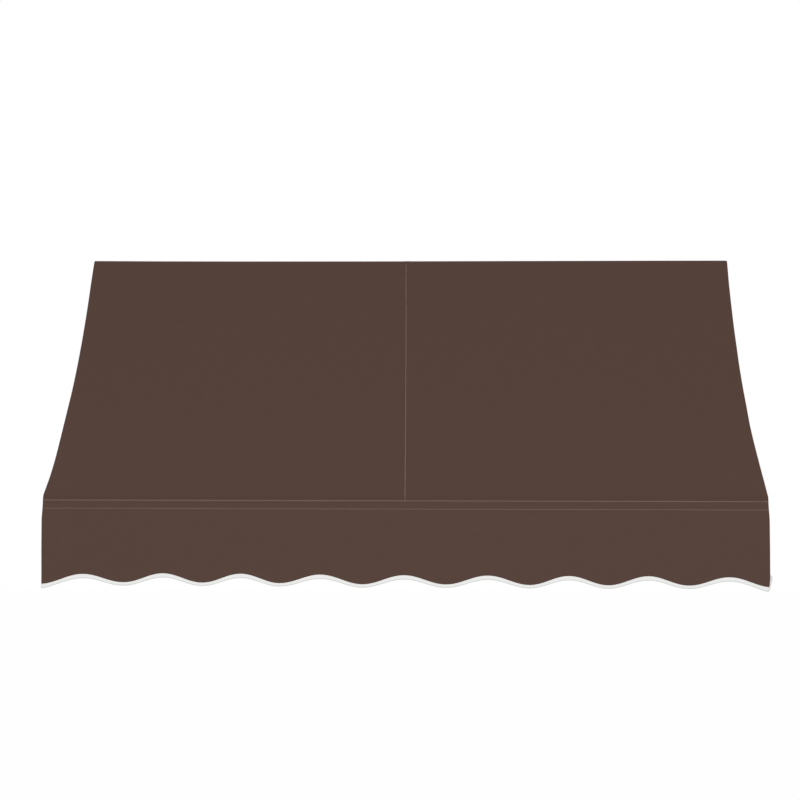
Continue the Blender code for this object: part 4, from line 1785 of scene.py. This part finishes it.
@dataclass
class Metalwork:
    """Finishes of the tubes, castings and brackets that the frame brings, and the tubes' screws.

    The screw's own sizes are in millimetres.
    """

    line: CoverLine
    tube: float = 12.7 * MM
    screw_in: float = 12.0 * MM
    screw_sides: int = 24
    head_profile: tuple[Pair, ...] = ((3.9, -1.2), (3.9, 0.35), (3.75, 0.9), (3.2, 1.5), (2.4, 1.9),
                                      (1.75, 2.0))
    socket_half: float = 1.25
    socket_floor: float = 0.7
    screw_crease: float = 35.0
    askew: Triple = (0.3, 0.5, 0.8)
    head_facing: Triple = (0.0, 0.45, -0.89)
    front_facing: Triple = (0.0, 0.6, -0.8)

    def screw(self, axis: Triple, out: Triple) -> MeshParts:
        """A button head with a hexagon socket, down on a tube.

        Args:
            axis: Place on the tube's axis.
            out: Direction of the screw.

        Returns:
            Vertices, faces and UVs.
        """
        out = unit(np.array(out))
        first = unit(np.cross(out, self.askew))
        second = np.cross(out, first)
        turn = np.arange(self.screw_sides) * 2 * math.pi / self.screw_sides
        flat = self.socket_half / np.cos((turn + math.pi / 6) % (math.pi / 3) - math.pi / 6)
        rings = [(np.full(len(turn), radius), high) for radius, high in self.head_profile]
        rings += [(flat, self.head_profile[-1][1]), (flat, self.socket_floor)]
        shape = []
        for radius, high in rings:
            spread = (radius * np.cos(turn))[:, None] * first + (radius * np.sin(turn))[:, None] * second
            shape.append(np.array(axis) + out * self.tube + (spread + out * high) * MM)
        return loft(np.stack(shape), np.arange(len(rings)) * MM)

    def screws(self) -> None:
        """Build the screws that hold each tube on the castings' tongues."""
        head, front = self.line.head, self.line.front
        made = []
        for bar, place, out in (("head_bar", head, self.head_facing),
                                ("front_bar", front, self.front_facing)):
            low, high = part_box(bar)
            made += [self.screw((x, *place), out) for x in (low.x + self.screw_in, high.x - self.screw_in)]
        for side in Side:
            low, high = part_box("wall_upright_" + side.word)
            x = (low.x + high.x) / 2
            leg = head[1] - high.z + self.screw_in
            places = [(head[0], head[1] - leg), (head[0], low.z + self.screw_in)]
            low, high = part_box("side_rail_" + side.word)
            places += [(high.y - self.screw_in, front[1]), (low.y + self.screw_in, front[1])]
            reach, fall, _ = self.line.axis(np.array([leg, self.line.length - leg]))
            places += [(head[0] - out, head[1] - down) for out, down in zip(reach, fall)]
            made += [self.screw((x, y, z), (-float(side), 0.0, 0.0)) for y, z in places]
        add_piece("tube_screws", join(made), ZincSteel().make(), self.screw_crease)

    def dress(self) -> None:
        """Give each visible metal node its finish."""
        tubes = {grain: DrawnTube.along(grain).make() for grain in Grain}
        casting, zinc = Casting().make(), ZincSteel().make()
        for name, node in sorted(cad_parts.items()):
            if name in ("head_bar", "front_bar"):
                finish = tubes[Grain.ALONG_X]
            elif name.startswith("rafter_") and name != "rafter_pocket":
                finish = tubes[Grain.CURVED]
            elif name.startswith("side_rail"):
                finish = tubes[Grain.ALONG_Y]
            elif name.startswith("wall_upright"):
                finish = tubes[Grain.ALONG_Z]
            elif name.startswith("wall_bracket"):
                finish = zinc
            elif "corner" in name or "saddle" in name:
                finish = casting
            else:
                continue
            node.data.materials.clear()
            node.data.materials.append(finish)
            log.info("%s: %s", name, finish.name)


# ---------------------------------------------------------------- studio

@dataclass
class Studio:
    """Floor, light and camera."""

    floor_height: float = -2.3
    floor_half: float = 24.0
    floor_tones: Pair = (0.84, 0.88)
    floor_mottle: Noise = Noise(3.0)
    floor_rough: float = 0.9
    floor_glow: float = 0.96
    world: float = 0.88
    lens: float = 82.44
    sensor: float = 36.0
    place: Triple = (0.0827, -4.7542, -0.5224)
    pitch: float = math.radians(2.3715)
    yaw: float = math.radians(1.272)
    roll: float = math.radians(0.078)
    lamp_place: Triple = (0.1, -4.4, 1.5)
    lamp_target: Triple = (0.0, -0.35, -0.35)
    lamp_power: float = 40.0
    lamp_size: float = 3.2

    def add(self, name: str, data: bpy.types.ID) -> bpy.types.Object:
        """Put a camera, a lamp or a mesh into the scene.

        Args:
            name: Name of the object.
            data: What it shows.

        Returns:
            The object.
        """
        made = bpy.data.objects.new(name, data)
        bpy.context.scene.collection.objects.link(made)
        log.info("stage: %s", name)
        return made

    def camera(self) -> None:
        """Place the camera of the photograph."""
        data = bpy.data.cameras.new("camera")
        data.lens, data.sensor_width = self.lens, self.sensor
        made = self.add("camera", data)
        made.location = self.place
        made.rotation_euler = (math.pi / 2 + self.pitch, -self.roll, self.yaw)
        bpy.context.scene.camera = made

    def sky(self) -> None:
        """Even light from all round, and white where a ray meets nothing."""
        world = bpy.data.worlds.new("studio")
        bpy.context.scene.world = world
        recipe = Recipe(world, "Background")
        recipe.set(Color=(1.0, 1.0, 1.0, 1.0), Strength=recipe.seen() * (1.0 - self.world) + self.world)

    def lamp(self) -> None:
        """Hang one large soft lamp in front."""
        data = bpy.data.lights.new("front_soft", "AREA")
        data.energy, data.size = self.lamp_power, self.lamp_size
        made = self.add("front_soft", data)
        made.location = self.lamp_place
        aim = Vector(self.lamp_target) - Vector(self.lamp_place)
        made.rotation_euler = aim.to_track_quat("-Z", "Y").to_euler()

    def floor(self) -> None:
        """Pale floor that keeps the awning's shadow."""
        half, height = self.floor_half, self.floor_height
        mesh = bpy.data.meshes.new("floor")
        mesh.from_pydata([(-half, -half, height), (half, -half, height), (half, half, height),
                          (-half, half, height)], [], [(0, 1, 2, 3)])
        recipe = Recipe.finish("floor")
        darker, lighter = ((tone, tone, tone) for tone in self.floor_tones)
        mottle = recipe.noise(recipe.coordinates(), self.floor_mottle)
        recipe.set(Base_Color=recipe.mix(mottle, darker, lighter), Roughness=self.floor_rough)
        glow = recipe.node("ShaderNodeEmission", None, {"Color": (1, 1, 1, 1), "Strength": 1.0})
        mixed = recipe.node("ShaderNodeMixShader", None, {0: recipe.seen() * self.floor_glow,
                            1: Socket(recipe, recipe.shader.outputs[0]), 2: glow})
        recipe.feed(recipe.tree.nodes["Material Output"].inputs["Surface"], mixed)
        mesh.materials.append(recipe.owner)
        self.add("floor", mesh)

    def build(self) -> None:
        """Set the stage."""
        bpy.context.scene.view_settings.view_transform = "Standard"
        self.camera()
        self.sky()
        self.floor()
        self.lamp()


def main() -> None:
    """Build the awning's looks in order."""
    logging.basicConfig(level=logging.INFO, format="%(name)s %(message)s")
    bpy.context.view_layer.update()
    sizes = Sizes.read()
    line = CoverLine(sizes.head, sizes.front)
    canvas, tape = Canvas().make(), Tape().make()
    # Painted light: the valance is the same canvas, made lighter in place of the light its upright face
    # takes.
    strip = Canvas("valance_canvas", VALANCE_PAINTED_LIGHT_BROWN).make()
    brown = Thread("sewing_thread", THREAD_BROWN).make()
    white = Thread("white_thread", THREAD_WHITE).make()
    cover = Cover(sizes, line, canvas, brown)
    wings = Wings(sizes, line, canvas, brown)
    for side in Side:
        cover.width(side)
        wings.build(side)
    Valance(sizes, strip, tape, brown, white).build()
    fastenings = Fastenings(line, canvas, Webbing().make(), brown)
    fastenings.straps()
    fastenings.sleeve()
    metalwork = Metalwork(line)
    metalwork.screws()
    metalwork.dress()
    Studio().build()
    bpy.context.view_layer.update()


if __name__ == "__main__":
    main()
